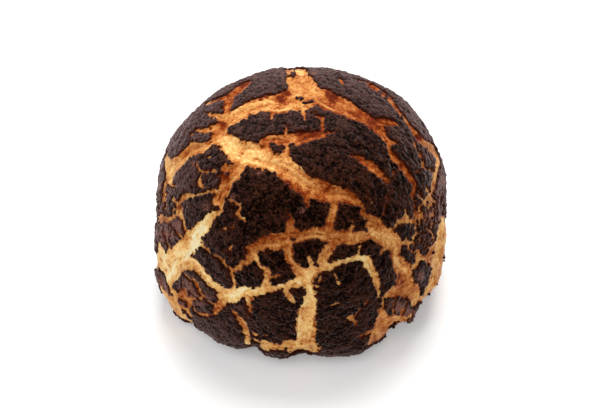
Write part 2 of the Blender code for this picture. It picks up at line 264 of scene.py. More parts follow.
# ---------------- what was read from the photograph
# name: (bake at the start, bake at the end, (x, y, width), ...) in pixels of the photograph.
# Bake is 0 for the palest cream, 0.5 for golden and 1 for red-brown.
FISSURES = {
    "crown_notch": (.48, .56, (301, 67, 10), (301.5, 74, 14), (300.5, 80, 25), (302, 86, 28), (303, 92, 27),
        (303, 98, 24)),
    "crown_notch_side": (.55, .55, (289, 67, 4), (290, 73, 6), (289, 79, 6), (290, 84, 6)),
    "fork_left": (.6, .52, (300, 98.5, 23), (290, 100, 21.5), (280, 102.8, 19), (270, 102.3, 16.5),
        (260, 104.2, 14.3), (250, 107, 13), (243, 110, 13.5), (236, 113.6, 14.3), (230, 118, 13),
        (225, 122, 12), (221, 128, 12), (219, 135, 11), (218, 141, 6)),
    "fork_right": (.56, .87, (304, 90.5, 21), (311, 94, 18), (318, 95.5, 16), (325, 98.5, 16),
        (333, 102.8, 18.5), (340, 106, 18.5), (347, 109.5, 16)),
    "main_diagonal": (.36, .78, (222, 138, 16), (229.5, 144, 22), (237.5, 150, 26), (248, 153.5, 26),
        (260, 156.3, 25.5), (270, 160.5, 20), (280, 165.7, 20), (290, 172, 22), (300, 181, 21),
        (310, 186.6, 22), (320, 189.8, 21.5), (330, 193.3, 20.5), (340, 194.3, 17), (350, 196.5, 14),
        (357, 200.5, 8), (362, 204, 6)),
    "left_high": (.52, .42, (217, 138, 6), (211.5, 142, 6), (206, 145.8, 9), (199, 148, 11.5),
        (190.5, 150, 11.5), (183.5, 157, 10.5), (176.5, 164, 9.5), (170.5, 169, 10), (168.7, 175.5, 7),
        (170, 182, 4), (171.5, 188, 2)),
    "left_limb_high": (.42, .42, (165, 152, 3), (165.5, 158, 4.5), (167, 165, 6)),
    "small_plate_top": (.75, .5, (221, 124, 11), (214, 125.8, 9), (208, 127.2, 6.5), (202, 128.5, 3.6),
        (195.5, 129.5, 2.4), (191.5, 132, 1.6), (190, 137, 1.3), (189.5, 142, 1.6)),
    "small_plate_side": (.85, .9, (215, 131, 8), (213.5, 137, 6), (209, 141, 4)),
    "left_flake": (.5, .9, (205, 103, 3), (211, 101, 3.5), (217, 99, 3.5), (223, 97, 4), (229, 95, 5.5),
        (235, 91.5, 7.5), (240, 87, 7), (245, 82, 6)),
    "top_left_gap": (.9, .75, (231, 94, 4), (228.5, 99, 6), (227, 105, 7), (226, 110, 8), (227, 114, 9)),
    "arc_notch": (.6, .4, (207, 112, 3.5), (212, 113.7, 4.5), (217, 114.7, 6.5), (223, 115, 8),
        (229, 115, 8)),
    "cluster_high": (.85, .4, (195, 161, 1.5), (197, 165.5, 4), (199.5, 169.3, 4.5), (203, 172, 3.2),
        (208, 171.7, 3.2), (213, 170.5, 2.8)),
    "cluster_right": (.75, .8, (213, 170.5, 2.5), (219, 171, 3), (225, 166, 7), (231, 168, 8)),
    "cluster_right_low": (.9, .7, (216, 176, 1.5), (220, 175, 4), (226, 173, 6), (231, 174, 8)),
    "cluster_notch": (.4, .4, (203.5, 158, 1.2), (208, 156.3, 2.4), (212, 155.5, 1.2)),
    "cluster_mid": (.5, .45, (200.5, 173, 2.2), (199.3, 178, 3), (198.8, 183, 4.2), (201, 186.5, 3.5),
        (205, 189, 3.8)),
    "cluster_low": (.35, .5, (179, 201, 4), (184, 197.5, 3.2), (189, 196.2, 3), (195, 196, 3),
        (201, 193.3, 4), (207, 191, 5), (213, 190.5, 5.5), (219, 194, 8)),
    "left_orange": (.55, .6, (240, 167, 10), (234, 172, 17), (227.5, 178, 16), (225, 184, 14),
        (223, 190, 13), (218.5, 196, 13.5), (217.3, 202, 11), (217.8, 208, 9), (216, 213, 6)),
    "left_low_diagonal": (.25, .1, (218, 213, 5), (211.5, 216.5, 10), (206, 223, 11.5), (199.7, 229.7, 14.5),
        (193, 237.3, 16.5), (188, 245, 17), (182, 253, 19), (175, 260, 19), (171, 268, 15), (168, 276, 10)),
    "left_limb_cream": (.26, .26, (157, 259, 9), (166, 262, 14), (176, 263, 17.5), (186, 262.5, 14),
        (193.5, 265.3, 11), (199, 269.7, 9), (204, 276, 8.5), (209.5, 282.5, 8.5), (215.5, 287.5, 8),
        (222, 292.5, 9), (230, 295.5, 11)),
    "left_column": (.45, .5, (171.5, 199, 3), (174.5, 202, 4), (177.5, 206, 5), (178.5, 211, 8.5),
        (180.5, 216, 6), (182, 221, 4.2), (183, 226, 3.2), (183.8, 231, 3), (184.5, 235, 4)),
    "left_limb_gold": (.4, .55, (155, 219, 9), (161, 219, 8.5), (166.5, 219.5, 6), (171, 216.5, 3.5),
        (175, 213, 4)),
    "left_limb_crack": (.6, .6, (163, 226, 2), (164, 233, 3), (165.5, 240, 3), (167.5, 247, 3),
        (168.5, 254, 4)),
    "left_limb_mottle": (.65, .6, (165, 182, 3), (163, 188, 4), (162, 194, 3), (164, 199, 2)),
    "left_limb_specks": (.55, .6, (170, 184, 2), (173, 187, 3), (176, 186, 2)),
    "left_limb_low": (.3, .42, (160, 259, 12), (166, 267, 12), (168.5, 276, 7), (169.5, 284, 4.5),
        (171.5, 291, 4.5), (175, 297, 6), (174, 303, 6), (178, 309, 5)),
    "left_inner": (.45, .55, (200, 243, 1.4), (204, 247, 1.4), (208.5, 252.3, 1.8), (213.5, 255.8, 3),
        (218, 257.3, 4.4), (221, 260, 2.6), (225, 265.5, 2.6), (230, 270, 4), (232.5, 277, 4.2),
        (233.5, 285, 4), (233, 292, 6.5)),
    "left_inner_pair": (.45, .45, (200, 241, 2), (204, 244, 1.2), (208, 248.5, 1.2), (211.5, 252.5, 1.2)),
    "central_low": (.6, .65, (234, 271.5, 7), (240, 267, 7), (245, 263, 8), (249, 258, 8.5), (251, 253, 9)),
    "central_crack": (.65, .45, (228, 200, 2), (234, 202, 3.2), (238.5, 205, 3.4), (238, 211, 2.8),
        (236.5, 216, 3), (240, 219.5, 3), (245, 221, 2.6), (247.5, 224, 1.2)),
    "central_crack_low": (.6, .75, (220, 230.5, 1), (224, 227.8, 2), (229, 228.7, 2.4), (233, 227, 1.2)),
    "central_spot": (.5, .5, (225, 251, 1), (230, 250, 2.4), (236, 251.5, 1)),
    "central_spot_down": (.6, .6, (231, 246, 1), (230, 250, 2), (231, 254.5, 1)),
    "orange_band": (.7, .6, (250, 252.5, 10), (254, 249.3, 12.5), (260, 245.5, 14), (267, 243, 15.5),
        (275, 243, 17.5), (283, 241.5, 18), (291, 238, 17), (298, 236.5, 14), (305, 235, 10.5),
        (313, 234, 12), (321, 234.3, 12.5), (330, 237.3, 14.5), (340, 237.5, 15.5), (350, 237.5, 15),
        (358, 238, 14), (365, 235.5, 10), (372, 231, 16)),
    "band_spur_up": (.85, .8, (289.5, 213, 2), (289.5, 218.5, 5.5), (290.5, 224.5, 9.5), (291, 231, 13)),
    "diagonal_spur": (.85, .85, (306, 195, 9), (307, 201, 6), (308, 207, 3)),
    "band_gap": (.5, .7, (336, 202, 10), (335, 207, 8), (333, 213, 8), (330.5, 218, 8.5), (329.5, 223, 9),
        (329, 230, 12)),
    "band_gap_right": (.55, .5, (360, 202, 7), (363, 207, 5), (363.5, 213, 5), (367, 217, 6.5),
        (373, 219.5, 7), (379, 224, 10)),
    "band_notch": (.55, .6, (353.5, 222, 2), (353, 226, 4), (352, 231, 6)),
    "diagonal_speck": (.6, .6, (367, 196, 2), (369.5, 199, 3), (372, 203, 2)),
    "right_mid": (.58, .54, (372, 229.5, 18), (379, 232.3, 19.5), (387, 238.3, 20.5), (393.5, 242.3, 19.5),
        (397.5, 249.5, 12), (397.5, 257, 10.5), (400.5, 264, 13), (404.3, 271, 16.5), (406, 279, 15.5),
        (407, 286, 16.5), (410.5, 293, 13.5), (415.5, 299, 9)),
    "right_low_arm": (.65, .5, (402, 289.5, 11), (395, 292, 9), (389, 294.5, 7.5), (384.5, 297.5, 6),
        (382, 302, 3.6), (381.8, 307, 3.6), (381.8, 313, 6), (382, 319, 9)),
    "band_drop": (.65, .55, (287.5, 246, 11), (287.8, 252, 10.5), (288.8, 258, 9), (292, 264, 9),
        (297, 269.5, 10), (303, 275, 13), (306, 281, 14)),
    "band_patch": (.4, .35, (308, 258, 3), (311, 262, 8), (314, 267, 10)),
    "plate_ring_left": (.4, .5, (253, 256, 9), (256.5, 260.5, 6), (258.5, 266, 3), (263, 268, 3),
        (267, 270, 5), (267.6, 275, 7.5), (266.8, 280, 9), (265.5, 286, 10.5)),
    "plate_split": (.5, .55, (269, 276.5, 3), (275, 276.3, 3), (280, 275.5, 1.5)),
    "low_horizontal": (.17, .4, (222, 299, 12), (230, 297.5, 15), (238, 294.5, 12.5), (246, 293.5, 10.5),
        (253, 293, 9.5), (262, 291.5, 7.5), (270, 289.2, 5.8), (278, 288.3, 5.2), (285, 286.8, 6.5),
        (292, 285, 8), (299, 282.3, 11), (306, 278, 16), (313, 271.5, 12.5), (320, 268, 10), (328, 267, 8),
        (335, 264.5, 6.5), (342, 262.5, 6), (350, 260.2, 5.5), (357, 257.5, 6.5), (364, 258.5, 9),
        (368.5, 263.5, 10.5), (372, 269.5, 9.5), (375, 276, 7.5), (377, 283, 6.5), (378.5, 290, 5.5),
        (379, 298, 4)),
    "below_band_gap": (.6, .4, (332, 243, 11), (330, 248, 12), (326, 254, 12), (322.5, 260, 10),
        (320, 266, 13)),
    "below_band_gap_right": (.5, .4, (361, 243, 5), (360, 248, 3.5), (360, 253, 5)),
    "right_corner": (.5, .5, (388, 248, 6), (384, 251.5, 2.5), (381.5, 255, 1.2)),
    "low_left_drop": (.4, .7, (228, 299, 9), (222.5, 304, 8), (218.5, 309, 6.5), (214.5, 313.5, 5),
        (210, 316, 2.5)),
    "gap_under_tip": (.45, .7, (247.5, 297, 10), (248.5, 302, 6.5), (249.5, 308, 4.5), (249, 314, 4),
        (246.5, 319, 3)),
    "low_left_split": (.6, .4, (233, 311, 4), (237, 316, 5.5), (241, 321, 6), (244.5, 327, 6.5),
        (246.5, 333, 6.5), (247.5, 339, 6.5), (248.5, 344.5, 4)),
    "low_left_streak": (.55, .5, (250, 331, 2.4), (254, 335, 2.6), (259, 337.5, 3), (266, 336, 1.8)),
    "low_left_streak_low": (.5, .5, (255, 341.5, 2), (261, 343, 2.8), (269, 342.3, 2.4), (276, 344, 2.6)),
    "base_strip": (.3, .38, (261, 347.5, 6), (268, 347.5, 7), (276, 346.8, 6), (283, 347, 6),
        (290, 346.5, 12), (297, 346, 13), (303, 346, 14)),
    "base_foot": (.7, .7, (291, 348, 8), (289.5, 354, 7)),
    "front_vertical": (.15, .46, (306, 280, 7), (307.5, 285, 8), (310, 290, 10.5), (310.3, 297, 12.5),
        (309.7, 304, 14.5), (307.8, 311, 17.5), (307.2, 318, 19), (306.4, 326, 20.5), (306.2, 334, 20.5),
        (305.2, 342, 22), (303, 350, 25)),
    "small_plate_low": (.5, .5, (321.5, 273, 2), (320, 280, 2), (316.5, 286, 4)),
    "notch_low": (.4, .4, (285.5, 288, 10), (286.7, 292, 8.5), (287.8, 296, 6.5), (290.3, 299.5, 3.6),
        (292.8, 303, 1.5)),
    "low_right_nick": (.5, .5, (334.5, 274, 1.2), (337, 279, 1.5), (338.5, 284, 1.2)),
    "low_right_line": (.65, .65, (328, 307, 1.5), (334, 304.5, 1.6), (341, 304, 1.2)),
    "low_right_slant": (.75, .6, (369, 299.5, 1.2), (365, 304, 1.5), (361, 309.5, 1.3), (356, 315.5, 1.8)),
    "low_right_gold": (.45, .6, (347.5, 320.5, 1.5), (351.5, 319.3, 4), (355, 321.5, 4.5),
        (356.8, 327.5, 2)),
    "low_right_tail": (.6, .65, (360, 337, 3), (367, 334.5, 4), (374, 331.5, 6), (380, 328, 12)),
    "right_foot": (.65, .55, (381.5, 317, 10.5), (382, 323, 15), (382, 328.5, 17), (378.5, 333, 12.5),
        (375, 336, 6)),
    "right_foot_side": (.85, .6, (396.5, 297, 1), (394.5, 304, 1.2), (393.3, 311, 1.2), (394, 317, 2.5),
        (395.5, 321.5, 5)),
    "inner_golden": (.75, .7, (352, 155, 2.5), (359.5, 158.3, 6.5), (366, 162, 9), (371.5, 166, 10.5),
        (377, 171, 9.5), (382, 175.5, 8.5), (388, 181, 6)),
    "inner_tail": (.9, .8, (388, 182, 5), (392, 177, 3.5), (394.5, 172, 2)),
    "inner_red": (1, 1, (390, 187, 2.5), (389, 193, 3), (387, 199, 2), (385, 206, 3), (384, 214, 2)),
    "inner_red_cross": (1, .95, (384, 188, 2), (389, 191, 2.5), (394, 190, 1.5)),
    "right_inner": (.7, .75, (390.5, 153.5, 5.5), (395.5, 159, 7), (401.3, 165, 7), (407, 171.2, 6.4),
        (410.7, 177.3, 6), (413, 183, 5.4), (413.9, 189, 4.5), (412, 195, 3)),
    "right_inner_end": (.8, .9, (412.5, 196, 2), (414.5, 202, 2.4), (416.5, 208, 2.2), (417, 214, 3)),
    "column_nick": (.65, .7, (388, 139.5, 4), (393, 141.5, 3.5), (397, 143.5, 2)),
    "right_spur": (.8, .9, (380, 121.5, 8), (386, 122.2, 7.5), (392, 122.8, 5.5), (398, 124.5, 3)),
    "outer_right": (.82, .42, (358.6, 79.1, 3), (364.6, 80.4, 4), (371.4, 83.6, 5), (378, 89.5, 7.2),
        (384, 93.5, 7), (389.5, 98.9, 5.2), (395, 105.6, 4.5), (399.8, 112, 4.5), (404.5, 118.2, 4),
        (408.6, 123.4, 3.6), (413.4, 129.6, 5), (417.4, 135.4, 7), (422.6, 140.3, 6.3), (428.4, 145.6, 6),
        (433.4, 150.6, 7), (437, 156.6, 7), (438, 163.6, 5.2), (437.3, 169.6, 4.6), (437, 175.6, 5),
        (435.6, 181.6, 5.4), (434, 187.6, 5), (432, 193.6, 4.6), (425.1, 200.1, 3), (422.6, 205.1, 2.4),
        (419.9, 211.6, 3), (418.1, 218.6, 3.2), (417.9, 225.6, 3), (418.1, 232.6, 3), (416.6, 238.6, 2.4)),
    "right_gold": (.6, .4, (405.5, 212, 3), (406, 217, 5), (409, 220.5, 7.5), (415, 222, 6.5)),
    "right_gold_tail": (.4, .5, (409, 220.5, 7.5), (403, 221.5, 7), (397, 222.5, 4), (395, 228, 2)),
    "right_specks": (.5, .5, (402, 245, 6), (406, 243, 6), (411, 244, 3.5), (416, 241, 3)),
    "right_specks_low": (.5, .55, (410.5, 244, 2.5), (410.5, 249, 2), (413, 252, 2), (417, 253, 4)),
    "right_column": (.65, .6, (415.5, 141, 2), (415.5, 147.5, 2.4), (420, 153, 2.4), (422, 159, 2.8),
        (424, 165.5, 4.6), (419, 170, 2.2), (413.5, 171.8, 1.6)),
    "right_cross": (.6, .6, (426, 168, 2), (431, 169.5, 1.5), (435.5, 172, 1.8)),
    "right_steps": (.45, .5, (424, 201, 3.4), (427.5, 197.5, 2.4), (431, 200.5, 2.6), (430.5, 205, 2.6)),
    "right_steps_low": (.6, .6, (420.5, 212, 2), (425.5, 211.5, 2.6), (429, 208, 2.6), (433, 212, 1.8),
        (437, 210, 2)),
    "right_line": (.6, .6, (418, 224.5, 2.5), (425, 225, 2), (432, 223.5, 2.2), (440, 222.5, 3)),
    "right_loop": (.5, .55, (418, 234, 3.5), (422, 234.5, 3), (425.5, 231, 2.4), (426.5, 225, 2.2),
        (427, 218, 2), (428, 212, 2.4)),
    "right_ring": (.45, .6, (411, 270, 3.4), (415, 267.5, 4.5), (419.5, 263, 5), (419, 256, 5),
        (424.5, 258.5, 6.5), (430, 259.5, 10), (436.5, 260, 13)),
    "right_ring_top": (.65, .6, (430.5, 256, 7), (433, 250, 5.5), (438, 246.5, 6)),
    "limb_right": (.38, .44, (441, 203, 2.5), (442, 209, 4), (442.5, 216, 5), (442.8, 224, 6), (442, 234, 7),
        (441.5, 244, 8.5), (440, 254, 10), (437.5, 264, 11), (436, 273, 11), (433.5, 281, 10), (430, 288, 8),
        (426.5, 294, 5)),
    "lobe_right": (.6, .55, (417, 288, 4), (417, 294, 6), (416.5, 301, 7)),
    "pocket_row": (.7, .85, (263, 145.5, 8), (266, 141, 10), (271, 137.6, 9.5), (278, 137.3, 10.5),
        (285, 137.3, 12), (292, 136.8, 12.5), (300, 136.3, 12.5), (308, 134.4, 9.5), (315, 134.3, 9.5),
        (321, 133, 8.5), (327, 131.8, 4.5), (333, 131, 2.8), (339, 131, 1.6)),
    "pocket_drop": (.55, .5, (286, 140, 7), (286, 146, 6), (285.5, 152, 7)),
    "middle_notch_left": (.75, .75, (272.5, 111, 3.5), (271, 117, 2.5)),
    "middle_notch": (.45, .6, (303, 106, 12), (303.5, 111, 7), (304, 115, 4), (304.5, 118, 2)),
    "middle_split": (.75, .65, (311, 113.5, 1.5), (316, 115.5, 1.8), (321, 117, 2.5), (322.5, 121, 4.5),
        (322.5, 127, 5.5), (323, 133, 7)),
    "middle_indent": (.75, .75, (286, 123, 2), (286, 128, 3.5), (286.5, 134, 5)),
    "top_right_patch": (.85, .8, (341, 78, 2.5), (342, 82, 4), (341, 86, 2)),
    "cluster_low_left_line": (.5, .55, (184, 274.5, 3), (188, 278, 2.4), (193, 281, 3.2), (196, 287, 4),
        (199, 293, 4.2), (203, 298, 3.6), (208, 302, 2.6), (212, 305, 2.2)),
    "cluster_low_left_top": (.5, .6, (191, 266, 3), (192.5, 270.5, 2)),
    "cluster_low_left_mid": (.9, .8, (181.5, 277, 1), (181.5, 283, 1.4), (181, 290, 2.2)),
    "cluster_low_left_band": (.55, .5, (170, 290.5, 4), (176, 294, 4), (182, 297.5, 3.6), (188, 300.5, 3.2),
        (195, 299.5, 3.2), (202, 299, 3)),
    "cluster_low_left_red": (.95, .85, (220.5, 297, 3), (218.7, 303, 5.5), (216, 308.5, 6.5),
        (212.5, 312.5, 4)),
    "cluster_foot": (.75, .6, (177, 303, 2.5), (181, 307.5, 3.4), (186.5, 310.5, 3.4), (189.5, 315.5, 4)),
    "cluster_foot_line": (.75, .65, (191, 304, 1.8), (195, 310.5, 2), (201, 315, 2), (211, 315, 2.8)),
    "left_column_arm": (.4, .45, (184, 196, 3), (181, 200, 4), (178, 204.5, 5)),
    "left_limb_thread": (.6, .7, (168, 222, 2), (172, 228, 1.6), (177, 234, 1.8), (181, 239, 2.5)),
    "left_limb_foot": (.45, .5, (161, 288, 5), (164, 296, 8), (169, 304, 9.5), (176.5, 311, 11),
        (184, 317, 11), (191, 321, 7)),
    "low_right_gold_arm": (.5, .6, (353, 316, 1.5), (353, 321, 3)),
    "right_foot_patch": (.85, .7, (407, 302, 1.5), (404.5, 307.5, 2.5), (401.5, 313, 4), (400.5, 318, 4.5)),
    "right_mottle": (.6, .6, (430, 230, 1.5), (434, 236, 2.4), (436, 239, 1.5)),
    "fork_right_low": (.9, .8, (347, 109.5, 16), (355, 113.5, 14), (363, 117.5, 12.5), (370, 122, 11.5),
        (376, 127, 10.5), (382.3, 132.3, 9), (386, 137.6, 6.3), (388, 143, 4.6), (388.3, 148, 3.2),
        (390, 153, 5)),
    "right_flecks": (.55, .6, (421, 214, 2), (424, 218, 3), (428, 219.5, 2), (432, 217, 2.6),
        (436, 214.5, 1.8)),
    "right_flecks_low": (.6, .55, (419, 238, 1.8), (422.5, 241, 3), (427, 243, 2), (430, 247, 2.8),
        (427, 251, 2)),
    "right_flecks_high": (.6, .6, (424, 186, 1.6), (427, 190, 2.6), (430, 192, 1.8)),
    "knob_foot": (.6, .55, (394, 322, 4), (400, 320.5, 5), (406, 318.5, 5), (411, 315.5, 4)),
    "crumb_shelf": (.5, .5, (261, 148, 4), (268, 152.5, 6), (276, 155.5, 8), (284, 158, 9.5),
        (290.5, 162.5, 7)),
}

# Islands of crust that lie in a fissure: (x, y, half length, half height) in pixels.
CRUMBS = {
    "notch_crumb": (293, 75.5, 2.6, 3),
    "fork_crumb_left": (300.5, 98, 2.8, 1.5),
    "fork_crumb_right": (307, 101, 4.5, 2.2),
    "drop_crumb": (275.8, 145.2, 6.8, 2.8),
    "pocket_crumb": (292.3, 142.2, 3, 2.2),
    "pocket_crumb_low": (293, 151.5, 4.6, 4),
    "cluster_crumb": (224.5, 173.5, 3, 1.2),
    "orange_crumb": (213.5, 209, 3.2, 1.8),
    "band_crumb": (292.3, 240, 2.4, 1),
    "band_crumb_right": (366.7, 229, 2.9, 1.9),
    "low_crumb": (304, 265.6, 4, 1.8),
    "low_crumb_right": (316.5, 266, 1.6, 1.6),
    "outer_crumb": (381.5, 91.8, 2, 1.6),
    "outer_crumb_low": (386, 96.6, 2.4, 1.3),
    "right_crumb": (421, 229.5, 2.6, 2.8),
    "base_crumb": (280, 353.5, 7.5, 3.4),
}

# Where the bread is baked more or less than along its fissure, and a few spots of painted shadow and
# painted highlight: (x, y, radius) in pixels, then the change in bake.
STAINS = {
    # Painted shadow: the bread darkened under the overhanging flakes.
    "shadow_under_left_flake": (279.5, 96.5, 3, 0.7),
    "shadow_under_left_flake_end": (288.5, 91, 3, 0.6),
    "shadow_under_right_flake": (328, 93, 2.6, 0.6),
    "pocket_left": (304, 135.5, 5, 0.25),
    "pocket_right": (316, 133.5, 5, 0.25),
    "pocket_start": (266, 142, 5, 0.2),
    "pocket_pale": (292, 139, 4, -0.25),
    "left_corner": (221, 122, 4, 0.4),
    "left_shelf": (184, 152, 4.5, 0.2),
    "orange_pocket": (225, 177, 6, 0.3),
    "left_column_middle": (178, 207, 3, 0.4),
    "band_spur": (291, 232, 6, 0.05),
    "band_dark": (264, 240, 5, 0.05),
    "band_gap_dark": (330, 226, 4.5, 0.1),
    "right_mid_dark": (380, 228, 5, 0.15),
    "right_blush": (404, 280, 8, 0.25),
    "right_pale": (392, 243, 6, -0.15),
    "fork_right_end": (360, 113, 6, 0.05),
    "fork_right_tip": (372, 122, 4, 0.2),
    "outer_corner": (420, 136.5, 4, 0.5),
    "diagonal_right": (322, 192, 8, 0.2),
    "diagonal_low": (309, 188, 5, 0.2),
    "left_pale": (197, 236, 8, -0.15),
    "left_pale_low": (180, 256, 7, -0.05),
    "left_gold": (178, 270, 9, 0.15),
    "left_edge_dark": (183, 240, 3, 0.25),
    "low_pale_left": (244, 293, 9, -0.15),
    "low_pale_right": (312, 297, 7, -0.1),
    "front_left_dark": (301, 313, 4, 0.25),
    "low_pale_far": (369, 261, 6, -0.15),
    "low_far_dark": (374, 279, 4, 0.15),
    "cream_middle": (203, 230, 6, -0.2),
    "cream_low": (194, 243, 7, -0.2),
    "cream_far": (186, 254, 7, -0.15),
    "cream_side_dark": (195, 223, 4, 0.15),
    "cream_side_low": (180, 247, 4, 0.25),
    # Painted highlight: pale spots along the raised fold at the right.
    "highlight_on_right_ridge": (410, 272, 2.5, -0.3),
    "highlight_on_right_ridge_low": (413, 281, 2.5, -0.3),
    # Painted shadow under the flakes, as above.
    "shadow_under_left_flake_middle": (284, 94, 3, 0.75),
    "shadow_under_right_flake_end": (332.5, 96, 3, 0.65),
    "orange_pocket_low": (225, 190, 5, 0.2),
    "pale_corner": (178, 263, 9, 0.1),
    "diagonal_edge": (281, 173, 4, 0.12),
    "diagonal_edge_middle": (290, 182, 4.5, 0.25),
    "diagonal_edge_low": (301, 190, 4.5, 0.22),
    "lens_dark": (362, 162, 7, 0.15),
    "lens_low": (374, 174, 6, 0.12),
    "outer_arc_dark": (402, 166, 9, 0.15),
    "outer_arc_low": (409, 184, 7, 0.15),
    "left_column_top": (183, 199, 6, 0.2),
    "left_limb_rim": (158, 227, 8, 0.22),
    "band_light": (320, 233, 8, -0.15),
    "right_light": (405, 212, 8, -0.15),
    "outer_low": (435, 178, 9, -0.15),
    "right_foot_dark": (405, 285, 8, 0.1),
}

# Where the crust is thin, red-brown and mottled: (x, y, radius) in pixels, then how thin, 0 to 1.
THIN_PLACES = {
    "top_left": (283, 75, 5, 0.5),
    "arc_tip": (213, 124, 7, 0.6),
    "cluster_ear": (206, 158, 12, 0.6),
    "left_limb_high": (163, 188, 9, 0.7),
    "left_limb_low": (163, 236, 14, 1),
    "left_foot": (180, 306, 12, 0.8),
    "cluster_foot": (205, 300, 8, 0.6),
    "big_plate_top": (262, 171.5, 8, 0.8),
    "big_plate_left": (234, 197, 7, 0.7),
    "big_plate_right": (301, 212, 7, 0.6),
    "low_split": (237, 306, 6, 0.6),
    "right_low": (384, 300, 12, 0.5),
    "right_foot": (407, 314, 8, 0.6),
    "right_middle": (392, 190, 9, 0.5),
    "right_limb": (436, 215, 12, 0.9),
    "right_limb_low": (434, 240, 12, 0.9),
    "right_inner": (412, 205, 7, 0.5),
    "left_limb_strip": (162, 281, 9, 1),
    "right_limb_top": (442, 180, 12, 0.9),
    "crown_right": (313, 72.5, 4.5, 0.9),
    "crown_left": (291, 73, 3, 0.8),
    "top_right": (362, 80, 7, 0.6),
    "outer_right": (399, 105, 5, 0.7),
    "left_plate_corner": (208, 208, 7, 0.8),
    "ear_tip": (214, 143, 4, 0.7),
    "ear_right": (226, 160, 5, 0.6),
    "cluster_middle": (194, 163, 5, 0.7),
    "middle_notch": (272, 118, 5, 0.6),
    "middle_top": (316, 113, 7, 0.5),
    "low_left_cluster": (184, 284, 13, 0.7),
    "low_left_foot": (196, 296, 12, 0.6),
    "left_limb": (161, 208, 11, 0.8),
    "left_middle": (178, 228, 13, 0.9),
    "left_upper": (170, 182, 12, 0.35),
    "knob": (398, 308, 12, 0.9),
    "right_plate": (421, 276, 9, 0.8),
    "right_limb_high": (440, 196, 11, 0.7),
    "left_low_corner": (164, 292, 8, 0.8),
    "left_high_plate": (178, 148, 9, 0.3),
    "left_plate": (188, 207, 10, 0.35),
    "right_limb_inner": (424, 222, 10, 0.7),
    "right_corner": (404, 262, 9, 0.4),
    "right_knee": (402, 170, 9, 0.35),
    "knob_edge": (412, 314, 6, 0.9),
}

# Where the crust is broken up in flecks: (x, y, radius) in pixels, then how much, 0 to 1.
FLECKED_PLACES = {
    "left_limb": (160, 205, 11, 0.6),
    "left_limb_low": (162, 238, 10, 0.4),
    "left_foot": (180, 304, 11, 1),
    "right_limb": (431, 205, 13, 1),
    "right_limb_low": (430, 236, 13, 0.7),
    "right_low": (380, 304, 6, 0.4),
    "right_limb_inner": (424, 218, 9, 0.6),
}

# Bare bread on the very edge of the view: (x, y, half length, half height) in pixels.
BARE_PLACES = {
    "left_limb": (156, 261, 6, 9),
    "left_foot": (164, 303, 7, 12),
    "right_limb": (446, 237, 6, 26),
    "right_limb_low": (441, 270, 7, 17),
    "right_edge": (442, 277, 5, 9),
    "right_edge_low": (435, 290, 6, 7),
    "right_edge_foot": (426, 300, 8, 5),
    "knob_under": (403, 326, 8, 5),
    "foot_under": (391, 332.5, 8, 4.5),
}


# ---------------- the form, as in the solid
def direction(azimuth, elevation):
    """Unit vector from two angles in degrees."""
    turn, lift = math.radians(azimuth), math.radians(elevation)
    return np.array([math.cos(turn) * math.cos(lift), math.sin(turn) * math.cos(lift), math.sin(lift)])


def unit_rows(rows):
    """Rows of vectors, each scaled to length 1."""
    return rows / np.linalg.norm(rows, axis=1, keepdims=True)


def form_radius(unit):
    """Distance from the middle of the widest ring to the skin, for rows of unit vectors."""
    level = np.hypot(unit[:, 0], unit[:, 1]) / (DIAMETER / 2)
    upright = np.abs(unit[:, 2]) / np.where(unit[:, 2] > 0, HEIGHT - WAIST_HEIGHT, FOOT_REACH)
    power = np.where(unit[:, 2] > 0, DOME_POWER, FOOT_POWER)
    radius = (level ** power + upright ** power) ** (-1 / power)
    for azimuth, elevation, spread, height in (*SWELLS.values(), *PUFFS.values()):
        angle = np.degrees(np.arccos(np.clip(unit @ direction(azimuth, elevation), -1, 1)))
        radius += height * np.exp(-(angle / spread) ** 2)
    return radius


def on_form(points):
    """Move points along the spokes from the middle of the widest ring onto the skin."""
    unit = unit_rows(points - RING_MIDDLE)
    return RING_MIDDLE + unit * form_radius(unit)[:, None]


def outside_by(points):
    """How far points lie outside the skin, along those spokes; negative inside."""
    spoke = points - RING_MIDDLE
    length = np.linalg.norm(spoke, axis=1)
    return length - form_radius(spoke / length[:, None])


# ---------------- between photograph and form
def on_skin(pixels):
    """The points of the form that appear at these pixels.

    A pixel just outside the bun stands for the hidden point as far inside, on the far side."""
    offset = (pixels - np.array(MIDDLE_PIXEL)) / FOCAL_PIXELS
    rays = unit_rows(AHEAD + offset[:, :1] * np.array([1, 0, 0]) - offset[:, 1:] * SCREEN_UP)
    along = np.arange(VIEW_DISTANCE - SIGHT_REACH, VIEW_DISTANCE + SIGHT_REACH, SIGHT_STEP)
    found = np.zeros((len(pixels), 3))
    for row, ray in enumerate(rays):
        points = EYE + along[:, None] * ray
        gap = outside_by(points)
        inside = np.nonzero(gap < 0)[0]
        if len(inside):
            found[row] = points[inside[0]]
            continue
        inward = RING_MIDDLE - points[gap.argmin()]
        inward -= inward @ ray * ray
        points += 2 * gap.min() * inward / np.linalg.norm(inward)
        found[row] = points[np.nonzero(outside_by(points) < 0)[0][-1]]
    return on_form(found)


def pixels_of(points):
    """Where points appear in the photograph."""
    offset = points - EYE
    screen = np.stack([offset[:, 0], -offset @ SCREEN_UP], axis=1)
    return np.array(MIDDLE_PIXEL) + FOCAL_PIXELS * screen / (offset @ AHEAD)[:, None]


def smooth_route(points):
    """Sample a smooth curve through the points of a route."""
    knots = np.array(points, float)
    knots = np.vstack([2 * knots[0] - knots[1], knots, 2 * knots[-1] - knots[-2]])
    pieces = []
    for before, start, end, after in zip(knots, knots[1:], knots[2:], knots[3:]):
        count = max(1, round(math.dist(start[:2], end[:2]) / ROUTE_STEP))
        part = np.linspace(0, 1, count, endpoint=False)[:, None]
        pieces.append(0.5 * (2 * start + (end - before) * part
                             + (2 * before - 5 * start + 4 * end - after) * part ** 2
                             + (3 * start - before - 3 * end + after) * part ** 3))
    return np.vstack(pieces + [knots[-2:-1]])


